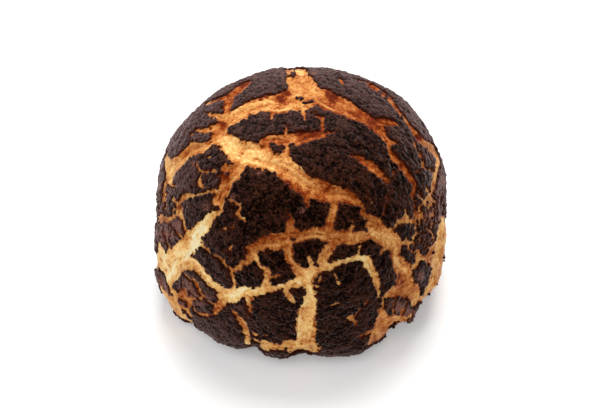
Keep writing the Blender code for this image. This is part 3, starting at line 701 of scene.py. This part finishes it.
def route_on_form(points):
    """Middle points of a route on the skin and its half width at each."""
    samples = smooth_route(points)
    heading = unit_rows(np.gradient(samples[:, :2], axis=0))
    across = np.stack([-heading[:, 1], heading[:, 0]], axis=1) * samples[:, 2:] / 2
    left = on_skin(samples[:, :2] + across)
    right = on_skin(samples[:, :2] - across)
    half_width = np.linalg.norm(left - right, axis=1) / 2
    return (left + right) / 2, np.minimum(half_width, WIDEST_TILT * samples[:, 2] / 2 * PIXEL)


ROUTES = [(start, end, *route_on_form(points)) for start, end, *points in FISSURES.values()]


# ---------------- unevenness
def smooth_step(value, low, high):
    """0 below low, 1 above high and a smooth rise between."""
    part = np.clip((value - low) / (high - low), 0, 1)
    return part * part * (3 - 2 * part)


def wander(points, size, shift, octaves=3):
    """Smooth uneven values between about -1 and 1, with lumps of the given size.

    The shift picks a stretch of the noise, so that two kinds of unevenness don't run alike."""
    rows = (points / size + shift).tolist()
    return np.array([noise.fractal(row, 1.0, 2.0, octaves) for row in rows])


def uneven(points, name):
    """One of the uneven fields, at these points."""
    mean, strength, size, shift = UNEVEN[name]
    return mean + strength * wander(points, size, shift)


def warped(points, depth, size, shifts):
    """Points moved about unevenly, which makes irregular what is drawn over them."""
    return points + depth * np.stack([wander(points, size, shift) for shift in shifts], axis=1)


def cobbles(points, size, shift):
    """Rounded lumps of the given size: 1 at the middle of each, and below 0 in the gaps between."""
    rows = (points / size + shift).tolist()
    return np.array([-noise.noise(row, noise_basis="VORONOI_F1") for row in rows])


def gaps_between_cells(points, size, shift):
    """Distance from the nearest border of irregular cells of the given size."""
    found = np.empty(len(points))
    for row, point in enumerate((points / size + shift).tolist()):
        away = noise.voronoi(point)[0]
        found[row] = away[1] - away[0]
    return found * size / 2


def strands(along, across, shift):
    """Fine ridges that run along a fissure, between about -1 and 1."""
    rows = np.stack([along / STRAND_LENGTH, across / STRAND_WIDTH, np.full(len(along), shift)], axis=1)
    return wander(rows, size=1, shift=0, octaves=2)


# ---------------- fields over the skin
def spots(pixels, places):
    """Soft round spots at places of the photograph, added up."""
    total = np.zeros(len(pixels))
    for x, y, radius, strength in places.values():
        away = np.hypot(pixels[:, 0] - x, pixels[:, 1] - y)
        total += strength * np.exp(-(away / radius) ** 2)
    return total


def along_route(points, middles, half_widths):
    """Distance outside a route's edges, and the place along and across it, for each point."""
    edge = np.full(len(points), SEARCH_REACH)
    place, along, across = np.zeros((3, len(points)))
    travelled = 0.0
    for step, (start, end) in enumerate(zip(middles, middles[1:])):
        run = end - start
        length = np.linalg.norm(run)
        offset = points - start
        part = np.clip(offset @ run / length ** 2, 0, 1)
        away = np.linalg.norm(offset - part[:, None] * run, axis=1)
        wide = half_widths[step] + (half_widths[step + 1] - half_widths[step]) * part
        closer = away - wide < edge
        edge = np.where(closer, away - wide, edge)
        place = np.where(closer, (step + part) / (len(middles) - 1), place)
        along = np.where(closer, travelled + part * length, along)
        sideways = np.cross(run / length, start - RING_MIDDLE)
        across = np.where(closer, offset @ sideways / np.linalg.norm(sideways), across)
        travelled += length
    return edge, place, along, across


def seen_fields(points):
    """Edge distance, bake and strands from the photographed fissures."""
    edge = np.full(len(points), SEARCH_REACH)
    ridge = np.zeros(len(points))
    weight = np.full(len(points), LEAST_SAY)
    bake_and_shade = np.full(len(points), LEAST_SAY * PLAIN_BAKE)
    for number, (start_bake, end_bake, middles, half_widths) in enumerate(ROUTES):
        centre = middles.mean(axis=0)
        reach = np.linalg.norm(middles - centre, axis=1).max() + SEARCH_REACH + half_widths.max()
        near = np.nonzero(np.linalg.norm(points - centre, axis=1) < reach)[0]
        own, place, along, across = along_route(points[near], middles, half_widths)
        say = np.exp(-np.clip(own, FULL_SAY, SEARCH_REACH) / TONE_REACH)
        weight[near] += say
        bake_and_shade[near] += say * (start_bake + (end_bake - start_bake) * place)
        ridge[near] += say * strands(along, across, STRAND_SHIFT * number)
        edge[near] = np.minimum(edge[near], own)
    return edge, bake_and_shade / weight, ridge / weight


def outside_oval(pixels, x, y, half_length, half_height):
    """Length by which pixels lie outside an oval of the photograph; negative inside."""
    away = np.hypot((pixels[:, 0] - x) / half_length, (pixels[:, 1] - y) / half_height)
    return (away - 1) * min(half_length, half_height) * PIXEL


def islands(edge, pixels):
    """The edge distance with the bare places and the crumbs of crust added."""
    for oval in BARE_PLACES.values():
        edge = np.minimum(edge, outside_oval(pixels, *oval))
    for oval in CRUMBS.values():
        edge = np.maximum(edge, -outside_oval(pixels, *oval))
    return edge


def network_edge(points):
    """Signed distance to a network of fissures between plates scattered by a seeded draw."""
    draw = np.random.default_rng(PLATE_SEED)
    unit = draw.normal(size=(PLATE_COUNT, 3))
    unit[:, 2] = np.abs(unit[:, 2]) - PLATE_DROP
    hearts = on_form(RING_MIDDLE + unit_rows(unit))
    sizes = draw.uniform(0, PLATE_SPREAD, PLATE_COUNT)
    moved = warped(points, PLATE_WARP, *BROAD_WARP)
    away = np.linalg.norm(moved[:, None] - hearts, axis=2) - sizes
    away.partition(1, axis=1)
    return (away[:, 1] - away[:, 0]) / 2 - uneven(points, "network_width")


def with_flecks(edge, points, flecked):
    """The edge distance with the crust broken up where it is flecked."""
    edge = edge.copy()
    broken = np.nonzero(flecked > LEAST_FLECKED)[0]
    gap = FLECK_GAP * np.clip(flecked[broken], 0, MOST_FLECKED) + uneven(points[broken], "fleck_gaps")
    fleck = gaps_between_cells(points[broken], FLECK_SIZE, shift=19)
    edge[broken] = np.minimum(edge[broken], fleck - gap)
    return edge


def with_flakes(edge, points, facing):
    """The edge distance with loose flakes of crust on the wide bread of the far side."""
    edge = edge.copy()
    outer = np.nonzero(facing < FLAKE_FACING[1])[0]
    flake = gaps_between_cells(points[outer], FLAKE_SIZE, shift=77) - FLAKE_GAP
    flake -= uneven(points[outer], "flake_gaps")
    flake -= FLAKE_END * smooth_step(facing[outer], *FLAKE_FACING)
    edge[outer] = np.maximum(edge[outer], flake)
    return edge


def skin_fields(points, normals):
    """What the skin is like at each point: edge distance, bake with some painted shadow and highlight,
    strands, thinness of the crust.
    """
    facing = (normals * unit_rows(EYE - points)).sum(axis=1)
    lead = UNDER_LEAD * smooth_step(WAIST_HEIGHT - points[:, 2], *UNDER_DEPTHS)
    seen = smooth_step(facing + lead, *BLEND_FACING)
    pixels = pixels_of(points)
    edge, bake_and_shade, ridge = np.zeros((3, len(points)))
    front = np.nonzero(seen > 0)[0]
    edge[front], bake_and_shade[front], ridge[front] = seen_fields(points[front])
    edge[front] = islands(edge[front], pixels[front])
    # The stains include painted shadow under the flakes and a painted highlight along a ridge.
    bake_and_shade[front] += spots(pixels[front], STAINS) * uneven(points[front], "stains")
    rear = np.nonzero(seen < 1)[0]
    hidden, share = points[rear], 1 - seen[rear]
    edge[rear] += share * (network_edge(hidden) - edge[rear])
    bake_and_shade[rear] += share * (uneven(hidden, "rear_bake") - bake_and_shade[rear])
    ridge[rear] += share * (uneven(hidden, "rear_strands") - ridge[rear])
    thin = smooth_step(facing, *THIN_FACING) * spots(pixels, THIN_PLACES) * uneven(points, "thinness")
    thin[rear] += share * smooth_step(uneven(hidden, "rear_thin"), *REAR_THIN) * MOST_REAR_THIN
    flecked = seen * spots(pixels, FLECKED_PLACES)
    flecked[rear] += share * smooth_step(uneven(hidden, "rear_flecks"), *REAR_FLECKS)
    edge = with_flakes(with_flecks(edge, points, flecked), points, facing)
    return edge + uneven(points, "edge"), bake_and_shade, ridge, np.clip(thin, 0, 1)


def frayed(edge, points):
    """The edge distance with lobes and fraying, worked out only near an edge."""
    edge = edge.copy()
    near = np.nonzero(np.abs(edge) < 2 * (LOBE_DEPTH + FRAY_DEPTH))[0]
    edge[near] += LOBE_DEPTH * (cobbles(points[near], LOBE_SIZE, shift=23) + LOBE_MIDDLE)
    edge[near] += FRAY_DEPTH * wander(points[near], FRAY_SIZE, shift=31, octaves=2)
    return edge


# ---------------- meshes
def geodesic(frequency):
    """Points and triangles of a ball: each face of an icosahedron cut into frequency squared."""
    shape = bmesh.new()
    bmesh.ops.create_icosphere(shape, subdivisions=1, radius=1)
    corners = np.array([vert.co for vert in shape.verts])
    sides = [[vert.index for vert in face.verts] for face in shape.faces]
    shape.free()
    steps = [(i, j) for i in range(frequency + 1) for j in range(frequency + 1 - i)]
    number = {step: row for row, step in enumerate(steps)}
    share = np.array([(frequency - i - j, i, j) for i, j in steps]) / frequency
    upright = [(number[i, j], number[i + 1, j], number[i, j + 1]) for i, j in steps if i + j < frequency]
    turned = [(number[i + 1, j], number[i + 1, j + 1], number[i, j + 1])
              for i, j in steps if i + j < frequency - 1]
    pattern = np.array(upright + turned)
    points = np.vstack([share @ corners[side] for side in sides])
    faces = np.vstack([pattern + row * len(steps) for row in range(len(sides))])
    _, first, same = np.unique(np.round(points, 6), axis=0, return_index=True, return_inverse=True)
    return unit_rows(points[first]), same.ravel()[faces]


def normals_of(points, faces):
    """Unit normal at each point of a triangle mesh."""
    corner = points[faces]
    facing = np.cross(corner[:, 1] - corner[:, 0], corner[:, 2] - corner[:, 0])
    return unit_rows(np.stack([
        sum(np.bincount(faces[:, side], facing[:, axis], len(points)) for side in range(3))
        for axis in range(3)], axis=1))


def edges_of(faces, count):
    """The edges of triangles as sorted pairs of points, and the three edges of each triangle."""
    pairs = np.sort(np.stack([faces, np.roll(faces, -1, axis=1)], axis=2), axis=2)
    keys, own = np.unique(pairs[..., 0] * count + pairs[..., 1], return_inverse=True)
    return np.stack([keys // count, keys % count], axis=1), own.reshape(faces.shape)


def turned_from(first, faces, own, middle):
    """The corners a, b, c of each triangle from its first one on, and the points cut into its edges."""
    turn = (first[:, None] + np.arange(3)) % 3
    return (*np.take_along_axis(faces, turn, axis=1).T,
            *middle[np.take_along_axis(own, turn, axis=1)].T)


def renumbered(faces):
    """The points that triangles use, and the triangles with those points counted from 0."""
    used, faces = np.unique(faces, return_inverse=True)
    return used, faces.reshape(-1, 3)


def refined(points, faces, wanted):
    """Cut every edge of the wanted triangles in half, and join up their neighbours to match."""
    pairs, own = edges_of(faces, len(points))
    cut = np.zeros(len(pairs), bool)
    cut[own[wanted].ravel()] = True
    middle = len(points) + np.cumsum(cut) - 1
    points = np.vstack([points, points[pairs[cut]].mean(axis=1)])
    number = cut[own].sum(axis=1)
    # Each triangle is turned so that its cut edges come first, or its one uncut edge last.
    first = np.where(number == 2, (np.argmin(cut[own], axis=1) + 1) % 3, np.argmax(cut[own], axis=1))
    a, b, c, ab, bc, ca = turned_from(first, faces, own, middle)
    patterns = {
        0: ((a, b, c),),
        1: ((a, ab, c), (ab, b, c)),
        2: ((a, ab, c), (ab, b, bc), (ab, bc, c)),
        3: ((a, ab, ca), (ab, b, bc), (ca, bc, c), (ab, bc, ca)),
    }
    made = [np.stack(corners, axis=1)[number == count]
            for count, triangles in patterns.items() for corners in triangles]
    return points, np.vstack(made)


def cut_out(columns, faces, edge):
    """Keep the part of a triangle mesh where edge is above 0, with new points on the line edge = 0.

    Columns are what is known at each point; they are worked out for the new points too."""
    inside = edge > 0
    count = inside[faces].sum(axis=1)
    pairs, own = edges_of(faces, len(edge))
    start, end = edge[pairs].T
    share = np.clip(start / np.where(start == end, 1, start - end), *CUT_SHARE)
    crossed = inside[pairs[:, 0]] != inside[pairs[:, 1]]
    middle = len(edge) + np.cumsum(crossed) - 1
    low, high = columns[pairs[crossed, 0]], columns[pairs[crossed, 1]]
    columns = np.vstack([columns, low + (high - low) * share[crossed, None]])
    # Each triangle that is cut begins with the corner that lies alone on its side of the line.
    lone = np.where(count == 1, np.argmax(inside[faces], axis=1), np.argmin(inside[faces], axis=1))
    a, b, c, ab, _, ca = turned_from(lone, faces, own, middle)
    used, faces = renumbered(np.vstack([
        faces[count == 3],
        np.stack([a, ab, ca], axis=1)[count == 1],
        np.stack([ab, b, c], axis=1)[count == 2],
        np.stack([ab, c, ca], axis=1)[count == 2]]))
    return columns[used], faces


def open_edges(faces, count):
    """Directed edges that only one triangle has."""
    ways = np.stack([faces, np.roll(faces, -1, axis=1)], axis=2).reshape(-1, 2)
    forward = ways[:, 0] * count + ways[:, 1]
    backward = ways[:, 1] * count + ways[:, 0]
    return ways[~np.isin(forward, backward)]


def new_mesh(name, points, faces, fields, flat, material):
    """A smooth mesh with a number for each field at each point, and a flat map of the points."""
    mesh = bpy.data.meshes.new(name)
    mesh.vertices.add(len(points))
    mesh.vertices.foreach_set("co", points.astype(np.float32).ravel())
    mesh.loops.add(faces.size)
    mesh.loops.foreach_set("vertex_index", faces.astype(np.int32).ravel())
    mesh.polygons.add(len(faces))
    mesh.polygons.foreach_set("loop_start", np.arange(0, faces.size, 3, dtype=np.int32))
    mesh.update(calc_edges=True)
    for field, values in fields.items():
        mesh.attributes.new(field, "FLOAT", "POINT").data.foreach_set("value", values.astype(np.float32))
    mesh.uv_layers.new(name="OFBake").uv.foreach_set("vector", flat.astype(np.float32).ravel())
    mesh.materials.append(material)
    mesh.shade_smooth()
    return mesh


def flat_map(points, centre):
    """Points laid out flat round a centre direction, each patch keeping its area."""
    spoke = unit_rows(points - RING_MIDDLE)
    centre = centre / np.linalg.norm(centre)
    right = np.cross(centre, MAP_UP)
    right /= np.linalg.norm(right)
    stretch = np.sqrt(2 / (1 + np.clip(spoke @ centre, LEAST_MAPPED, 1)))
    return np.stack([spoke @ right, spoke @ np.cross(centre, right)], axis=1) * stretch[:, None]


def plate_map(points, faces):
    """The flat map of some plates for each corner of their triangles, scaled to fill a square."""
    flat = flat_map(points, (points - RING_MIDDLE).mean(axis=0))
    start = flat.min(axis=0)
    flat = MAP_MARGIN + (flat - start) / (flat.max(axis=0) - start).max() * (1 - 2 * MAP_MARGIN)
    return flat[faces].reshape(-1, 2)


def bread_map(points, faces):
    """The flat map of the bread for each corner: a disc round its top, and its base in a corner."""
    under = (points[faces][..., 2] == 0).all(axis=1)
    disc = flat_map(points, np.array([0, 0, 1.0]))
    reach = np.abs(disc[np.unique(faces[~under])]).max()
    flat = (0.5 + (0.5 - MAP_MARGIN) * disc / reach)[faces]
    flat[under] = (BASE_CORNER + BASE_REACH * points[..., :2] / (DIAMETER / 2))[faces[under]]
    return flat.reshape(-1, 2)


# ---------------- materials
def shade(red, green, blue):
    """A colour of the photograph, 0 to 255, as the linear colour of a surface in this light."""
    parts = np.array([red, green, blue]) / 255
    linear = np.where(parts > 0.04045, ((parts + 0.055) / 1.055) ** 2.4, parts / 12.92)
    return (*(linear / LIGHT_LEVEL), 1.0)


def add(tree, kind, inputs, **settings):
    """A new node with its settings, and its inputs linked or set."""
    made = tree.nodes.new(kind)
    for name, value in settings.items():
        setattr(made, name, value)
    set_inputs(tree, made, inputs)
    return made


def set_inputs(tree, node, inputs):
    """Link each input of a node to a socket, or set it to a value."""
    for key, value in inputs.items():
        if isinstance(value, bpy.types.NodeSocket):
            tree.links.new(value, node.inputs[key])
        else:
            node.inputs[key].default_value = value


def attribute(tree, name):
    """The number that a mesh holds under this name."""
    return add(tree, "ShaderNodeAttribute", {}, attribute_name=name).outputs["Fac"]


def maths(tree, operation, *values, clamp=False):
    """One sum on numbers or sockets."""
    return add(tree, "ShaderNodeMath", dict(enumerate(values)), operation=operation,
               use_clamp=clamp).outputs[0]


def weighted_sum(tree, start, *terms):
    """A number and some sockets added up, each socket times its factor."""
    for socket, factor in terms:
        start = maths(tree, "MULTIPLY_ADD", socket, factor, start)
    return start


def in_range(tree, value, low, high, start=0.0, end=1.0):
    """A value carried from one range to another, and held inside it."""
    return add(tree, "ShaderNodeMapRange",
               {"Value": value, "From Min": low, "From Max": high, "To Min": start, "To Max": end},
               interpolation_type="SMOOTHSTEP").outputs[0]


def mixed(tree, share, first, second):
    """Two colours mixed."""
    return add(tree, "ShaderNodeMix", {0: share, 6: first, 7: second}, data_type="RGBA").outputs[2]


def mottling(tree, size, detail=3.0):
    """Cloudy unevenness of the given size, about 0.5 in the middle."""
    place = tree.nodes.get("place") or add(tree, "ShaderNodeTexCoord", {}, name="place")
    return add(tree, "ShaderNodeTexNoise",
               {"Vector": place.outputs["Object"], "Scale": 1 / size, "Detail": detail,
                "Roughness": 0.55}).outputs[0]


def bump(tree, height, strength):
    """A shader's normal with fine bumps on it."""
    return add(tree, "ShaderNodeBump",
               {"Height": height, "Strength": strength, "Distance": BUMP_DEPTH}).outputs[0]


def new_material(name):
    """An empty material: its node tree and its shader."""
    material = bpy.data.materials.new(name)
    material.use_nodes = True
    return material, material.node_tree, material.node_tree.nodes["Principled BSDF"]


def bread_material():
    """Bread from palest cream through golden to red-brown, by how much it is baked and the shade painted
    into it.
    """
    material, tree, shader = new_material("baked_bread")
    bake_and_shade = attribute(tree, "bake_and_shade")
    contrast = in_range(tree, bake_and_shade, 0.0, 0.5, 0.5, 1.0)
    for size, strength in BREAD_MOTTLING:
        cloud = weighted_sum(tree, -strength / 2, (mottling(tree, size), strength))
        bake_and_shade = maths(tree, "MULTIPLY_ADD", cloud, contrast, bake_and_shade)
    specks = in_range(tree, mottling(tree, 0.0011), 0.66, 0.74, 0.0, 0.4)
    ramp = add(tree, "ShaderNodeValToRGB", {0: maths(tree, "ADD", bake_and_shade, specks)})
    points = ramp.color_ramp.elements
    for place, colour in BREAD_TONES.items():
        point = points[0] if place == 0 else points[-1] if place == 1 else points.new(place)
        point.position = place
        point.color = shade(*colour)
    set_inputs(tree, shader, {
        "Base Color": ramp.outputs[0], "Normal": bump(tree, mottling(tree, 0.0008, 4.0), 0.5),
        "Roughness": 0.6, "IOR": 1.25, "Specular IOR Level": 0.15,
        "Sheen Weight": 0.42, "Sheen Roughness": 0.25, "Sheen Tint": (1, 0.86, 0.93, 1)})
    return material


def crust_material():
    """Scorched crust: near-black hollows and browner grains, set by the relief as painted shade and light,
    and both greyer where a sheen is painted in.

    Where the crust is thin it is paler in patches, and a red-brown line runs along its rims."""
    material, tree, shader = new_material("scorched_crust")
    grain_relief, thin, edge, painted_sheen = (attribute(tree, name) for name in ("grain_relief", "thin", "edge", "painted_sheen"))
    fine, broad = mottling(tree, 0.0006), mottling(tree, 0.005)
    # Painted sheen: hollows and grains are mixed toward grey where the sheen is painted in.
    hollow, raised = (mixed(tree, painted_sheen, shade(*unsheened), shade(*sheened))
                      for unsheened, sheened in (HOLLOW_TONES, GRAIN_TONES))
    # Painted light and shade: the grain relief makes the colour paler on lumps and darker in hollows, beside
    # the crust's own mottling.
    pale = weighted_sum(tree, -0.3, (broad, 1.0), (fine, 1.0), (grain_relief, 0.65), (painted_sheen, 0.1))
    colour = mixed(tree, in_range(tree, pale, 0.4, 1.1), hollow, raised)
    patchy = in_range(tree, weighted_sum(tree, -1.6, (mottling(tree, 0.0010), 2.6), (thin, 1.2)), 0.1, 1.0)
    colour = mixed(tree, maths(tree, "MULTIPLY", patchy, thin, clamp=True), colour, shade(*THIN_TONE))
    inward = weighted_sum(tree, 0.0005, (fine, 0.0008), (broad, -0.0022), (edge, 1.0))
    colour = mixed(tree, in_range(tree, inward, 0.0, 0.0005, 0.8, 0.0), colour, shade(*RIM_TONE))
    set_inputs(tree, shader, {
        "Base Color": colour, "Normal": bump(tree, mottling(tree, 0.0005), 0.7),
        "Roughness": 0.45, "IOR": 1.2, "Specular IOR Level": 0.05,
        "Sheen Weight": 0.48, "Sheen Roughness": 0.3, "Sheen Tint": (1, 0.78, 0.77, 1)})
    return material


# ---------------- the bread
def bake_with_painted_shade(bake_and_shade, edge, ridge):
    """How much the bread is baked, with painted shade added beside a plate and in the hollows of its
    strands.
    """
    return bake_and_shade + RIM_PAINTED_SHADE * np.exp(np.minimum(edge, 0) / RIM_PAINTED_SHADE_REACH) - STRAND_PAINTED_SHADE * ridge


def bread():
    """The body of the bun, coarse under the plates and fine where it shows.

    Gives its points, triangles, fields and flat map."""
    points, faces = geodesic(BREAD_FREQUENCY)
    points = on_form(points + RING_MIDDLE)
    for _ in range(BREAD_LEVELS):
        edge = skin_fields(points, normals_of(points, faces))[0]
        shows = (edge[faces].min(axis=1) < LOBE_DEPTH / 2) & (points[faces][..., 2].max(axis=1) > 0)
        points, faces = refined(points, faces, shows)
        points = on_form(points)
    normals = normals_of(points, faces)
    edge, bake_and_shade, ridge, _ = skin_fields(points, normals)
    crevice = np.exp(-np.abs(ridge) / CREVICE_WIDTH)
    crevice *= smooth_step(uneven(points, "crevices"), *CREVICE_PLACES)
    crumb = 0.5 + cobbles(warped(points, CRUMB_WARP, *FINE_WARP), CRUMB_SIZE, shift=61)
    height = uneven(points, "lumps") - BREAD_DEPTH - FISSURE_DIP * smooth_step(-edge, 0, DIP_REACH)
    relief = STRAND_HEIGHT * ridge + CRUMB_HEIGHT * crumb - CREVICE_DEPTH * crevice
    height += smooth_step(-edge, *SHOWN_EDGE) * relief
    height -= COVERED_DROP * smooth_step(edge, *COVERED_EDGE)
    # Painted shade: the bake is raised beside the plates, in the hollows of the folds and crumb, and in the
    # cracks, where shade falls.
    bake_and_shade = bake_with_painted_shade(bake_and_shade, frayed(edge, points), ridge + CRUMB_PAINTED_SHADE * crumb) + CREVICE_PAINTED_SHADE * crevice
    points = points + normals * height[:, None]
    points[:, 2] = np.maximum(points[:, 2], 0)
    return points, faces, {"bake_and_shade": bake_and_shade}, bread_map(points, faces)


# ---------------- the crust
def skirts(points, normals, faces):
    """The points on the plates' rims, the way outward at each, and triangles that hang from them.

    Those triangles end in a new point under each point of the rims, counted on after the others."""
    ways = open_edges(faces, len(points))
    rim, ways_on_rim = np.unique(ways, return_inverse=True)
    foot = len(points) + ways_on_rim.reshape(-1, 2)
    outward = np.zeros_like(points)
    side = np.cross(points[ways[:, 1]] - points[ways[:, 0]], normals[ways[:, 0]])
    for end in range(2):
        np.add.at(outward, ways[:, end], side)
    outward = outward[rim] / np.maximum(np.linalg.norm(outward[rim], axis=1, keepdims=True), TINY)
    return rim, outward, np.vstack([np.column_stack([ways[:, 1], ways[:, 0], foot[:, 0]]),
                                    np.column_stack([ways[:, 1], foot[:, 0], foot[:, 1]])])


def crust():
    """The plates: points, triangles, fields, and points that stand for them in a flat map."""
    points, faces = geodesic(CRUST_FREQUENCY)
    points = on_form(points + RING_MIDDLE)
    used, faces = renumbered(faces[(points[faces][..., 2] > CRUST_FOOT / 2).all(axis=1)])
    points = points[used]
    normals = normals_of(points, faces)
    edge, _, _, thin = skin_fields(points, normals)
    edge = frayed(np.minimum(edge, points[:, 2] - CRUST_FOOT), points)
    columns, faces = cut_out(np.column_stack([points, normals, edge, thin]), faces, edge)
    points, normals, edge, thin = columns[:, :3], unit_rows(columns[:, 3:6]), columns[:, 6], columns[:, 7]
    edge = np.maximum(edge, 0)
    # Painted sheen: the crust is greyed away from its darkest side, in place of the grazing sheen of the
    # light from behind.
    painted_sheen = 1 - smooth_step(normals @ direction(*DARKEST_SIDE), *DARKEST_FACING)
    moved = warped(points, COBBLE_WARP, *FINE_WARP)
    grain_relief = cobbles(moved, GRAIN_SIZE, shift=37)
    cobble = cobbles(moved, COBBLE_SIZE, shift=43)
    crease = np.exp(-np.abs(uneven(moved, "creases")) / CREASE_WIDTH)
    rounding = np.clip(1 - edge / RIM_WIDTH, 0, 1)
    height = uneven(points, "lumps") - RIM_DROP * (1 - np.sqrt(1 - rounding ** 2))
    relief = GRAIN_HEIGHT * grain_relief + COBBLE_HEIGHT * cobble - CREASE_DEPTH * crease
    height += (1 - THIN_FLATNESS * thin) * relief
    top = points + normals * height[:, None]
    rim, outward, skirt = skirts(points, normals, faces)
    low = points[rim] - normals[rim] * RIM_FOOT - outward * RIM_UNDERCUT
    skin = np.vstack([top, low])
    skin[:, 2] = np.maximum(skin[:, 2], CRUST_FOOT / 2)
    # Painted light and shade: the crust's colour follows this relief, paler on grains and lumps and darker
    # in creases and at the rims' feet.
    painted_relief_shade = grain_relief + COBBLE_PAINTED_LIGHT * cobble - CREASE_PAINTED_SHADE * crease
    fields = {"edge": np.append(edge, np.zeros(len(rim))),
              "thin": np.append(thin, thin[rim]),
              "painted_sheen": np.append(painted_sheen, painted_sheen[rim]),
              "grain_relief": np.append(painted_relief_shade, painted_relief_shade[rim] - FOOT_PAINTED_SHADE)}
    spread = np.vstack([points, points[rim] + outward * 2 * RIM_WIDTH])
    return skin, np.vstack([faces, skirt]), fields, spread


def plates_of(faces, count):
    """A number for each triangle that is the same all over one plate."""
    label = np.arange(count)
    pairs = np.vstack([faces[:, :2], faces[:, 1:]])
    while True:
        lowest = label.copy()
        np.minimum.at(lowest, pairs[:, 0], label[pairs[:, 1]])
        np.minimum.at(lowest, pairs[:, 1], label[pairs[:, 0]])
        lowest = lowest[lowest]
        if (lowest == label).all():
            return label[faces[:, 0]]
        label = lowest


def pieces_of(points, faces):
    """Which of the plates' pieces each triangle belongs to, as a place in their list."""
    _, plate, sizes = np.unique(plates_of(faces, len(points)), return_inverse=True, return_counts=True)
    centre = points[faces].mean(axis=1) - RING_MIDDLE
    hearts = np.stack([np.bincount(plate, centre[:, axis]) for axis in range(2)], axis=1)
    turn = np.degrees(np.arctan2(hearts[:, 1], hearts[:, 0])) % 360
    number = ((turn + 45) // 90 % 4).astype(int)[plate]
    largest = plate == np.argmax(sizes)
    number[largest] = np.where(centre[largest] @ EYE > 0, PLATE_PIECES.index("crust_crown"),
                               PLATE_PIECES.index("crust_far"))
    return number


def put(name, mesh):
    """Add a mesh as a piece of the bun."""
    piece = bpy.data.objects.new(name, mesh)
    bpy.context.scene.collection.objects.link(piece)
    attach(piece, "root")
    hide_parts("bun")


def build_bun():
    """The bread, and the plates piece by piece."""
    points, faces, fields, flat = bread()
    put("bread", new_mesh("bread", points, faces, fields, flat, bread_material()))
    points, faces, fields, spread = crust()
    number = pieces_of(points, faces)
    material = crust_material()
    for place, name in enumerate(PLATE_PIECES):
        own, own_faces = renumbered(faces[number == place])
        own_fields = {field: values[own] for field, values in fields.items()}
        flat = plate_map(spread[own], own_faces)
        put(name, new_mesh(name, points[own], own_faces, own_fields, flat, material))


# ---------------- floor, light and camera
def floor():
    """A plain pale floor."""
    mesh = bpy.data.meshes.new("floor")
    corners = [(x * FLOOR_HALF, y * FLOOR_HALF, 0) for x, y in ((-1, -1), (1, -1), (1, 1), (-1, 1))]
    mesh.from_pydata(corners, [], [(0, 1, 2, 3)])
    material, tree, shader = new_material("pale_floor")
    set_inputs(tree, shader, {
        "Base Color": (FLOOR_GREY, FLOOR_GREY, FLOOR_GREY, 1), "Emission Color": (1, 1, 1, 1),
        "Emission Strength": FLOOR_GLOW, "Roughness": 0.9})
    mesh.materials.append(material)
    piece = bpy.data.objects.new("floor", mesh)
    bpy.context.scene.collection.objects.link(piece)


def soft_light(name, azimuth, elevation, distance, size, power):
    """A large square lamp that faces the bun."""
    lamp = bpy.data.lights.new(name, "AREA")
    lamp.size = size
    lamp.energy = power
    holder = bpy.data.objects.new(name, lamp)
    holder.location = Vector(direction(azimuth, elevation)) * distance + Vector((0, 0, HEIGHT / 2))
    toward = Vector((0, 0, HEIGHT / 2)) - holder.location
    holder.rotation_euler = toward.to_track_quat("-Z", "Y").to_euler()
    bpy.context.scene.collection.objects.link(holder)


def lights():
    """Light from above and behind, fills from the front and sides, and a bright surround."""
    for name, lamp in LAMPS.items():
        soft_light(name, *lamp)
    world = bpy.data.worlds.new("surround")
    world.use_nodes = True
    background = world.node_tree.nodes["Background"]
    set_inputs(world.node_tree, background, {"Color": (1, 1, 1, 1), "Strength": SURROUND})
    bpy.context.scene.world = world
    bpy.context.scene.view_settings.view_transform = "Standard"


def camera():
    """The photograph's view."""
    lens = bpy.data.cameras.new("photo_view")
    lens.lens = LENS
    lens.sensor_width = SENSOR
    lens.shift_x = (PHOTO_SIZE[0] / 2 - MIDDLE_PIXEL[0]) / PHOTO_SIZE[0]
    lens.shift_y = (MIDDLE_PIXEL[1] - PHOTO_SIZE[1] / 2) / PHOTO_SIZE[0]
    lens.clip_start = 0.01
    holder = bpy.data.objects.new("photo_view", lens)
    holder.location = EYE
    holder.rotation_euler = (math.pi / 2 - VIEW_ELEVATION, 0, 0)
    bpy.context.scene.collection.objects.link(holder)
    bpy.context.scene.camera = holder


build_bun()
floor()
lights()
camera()
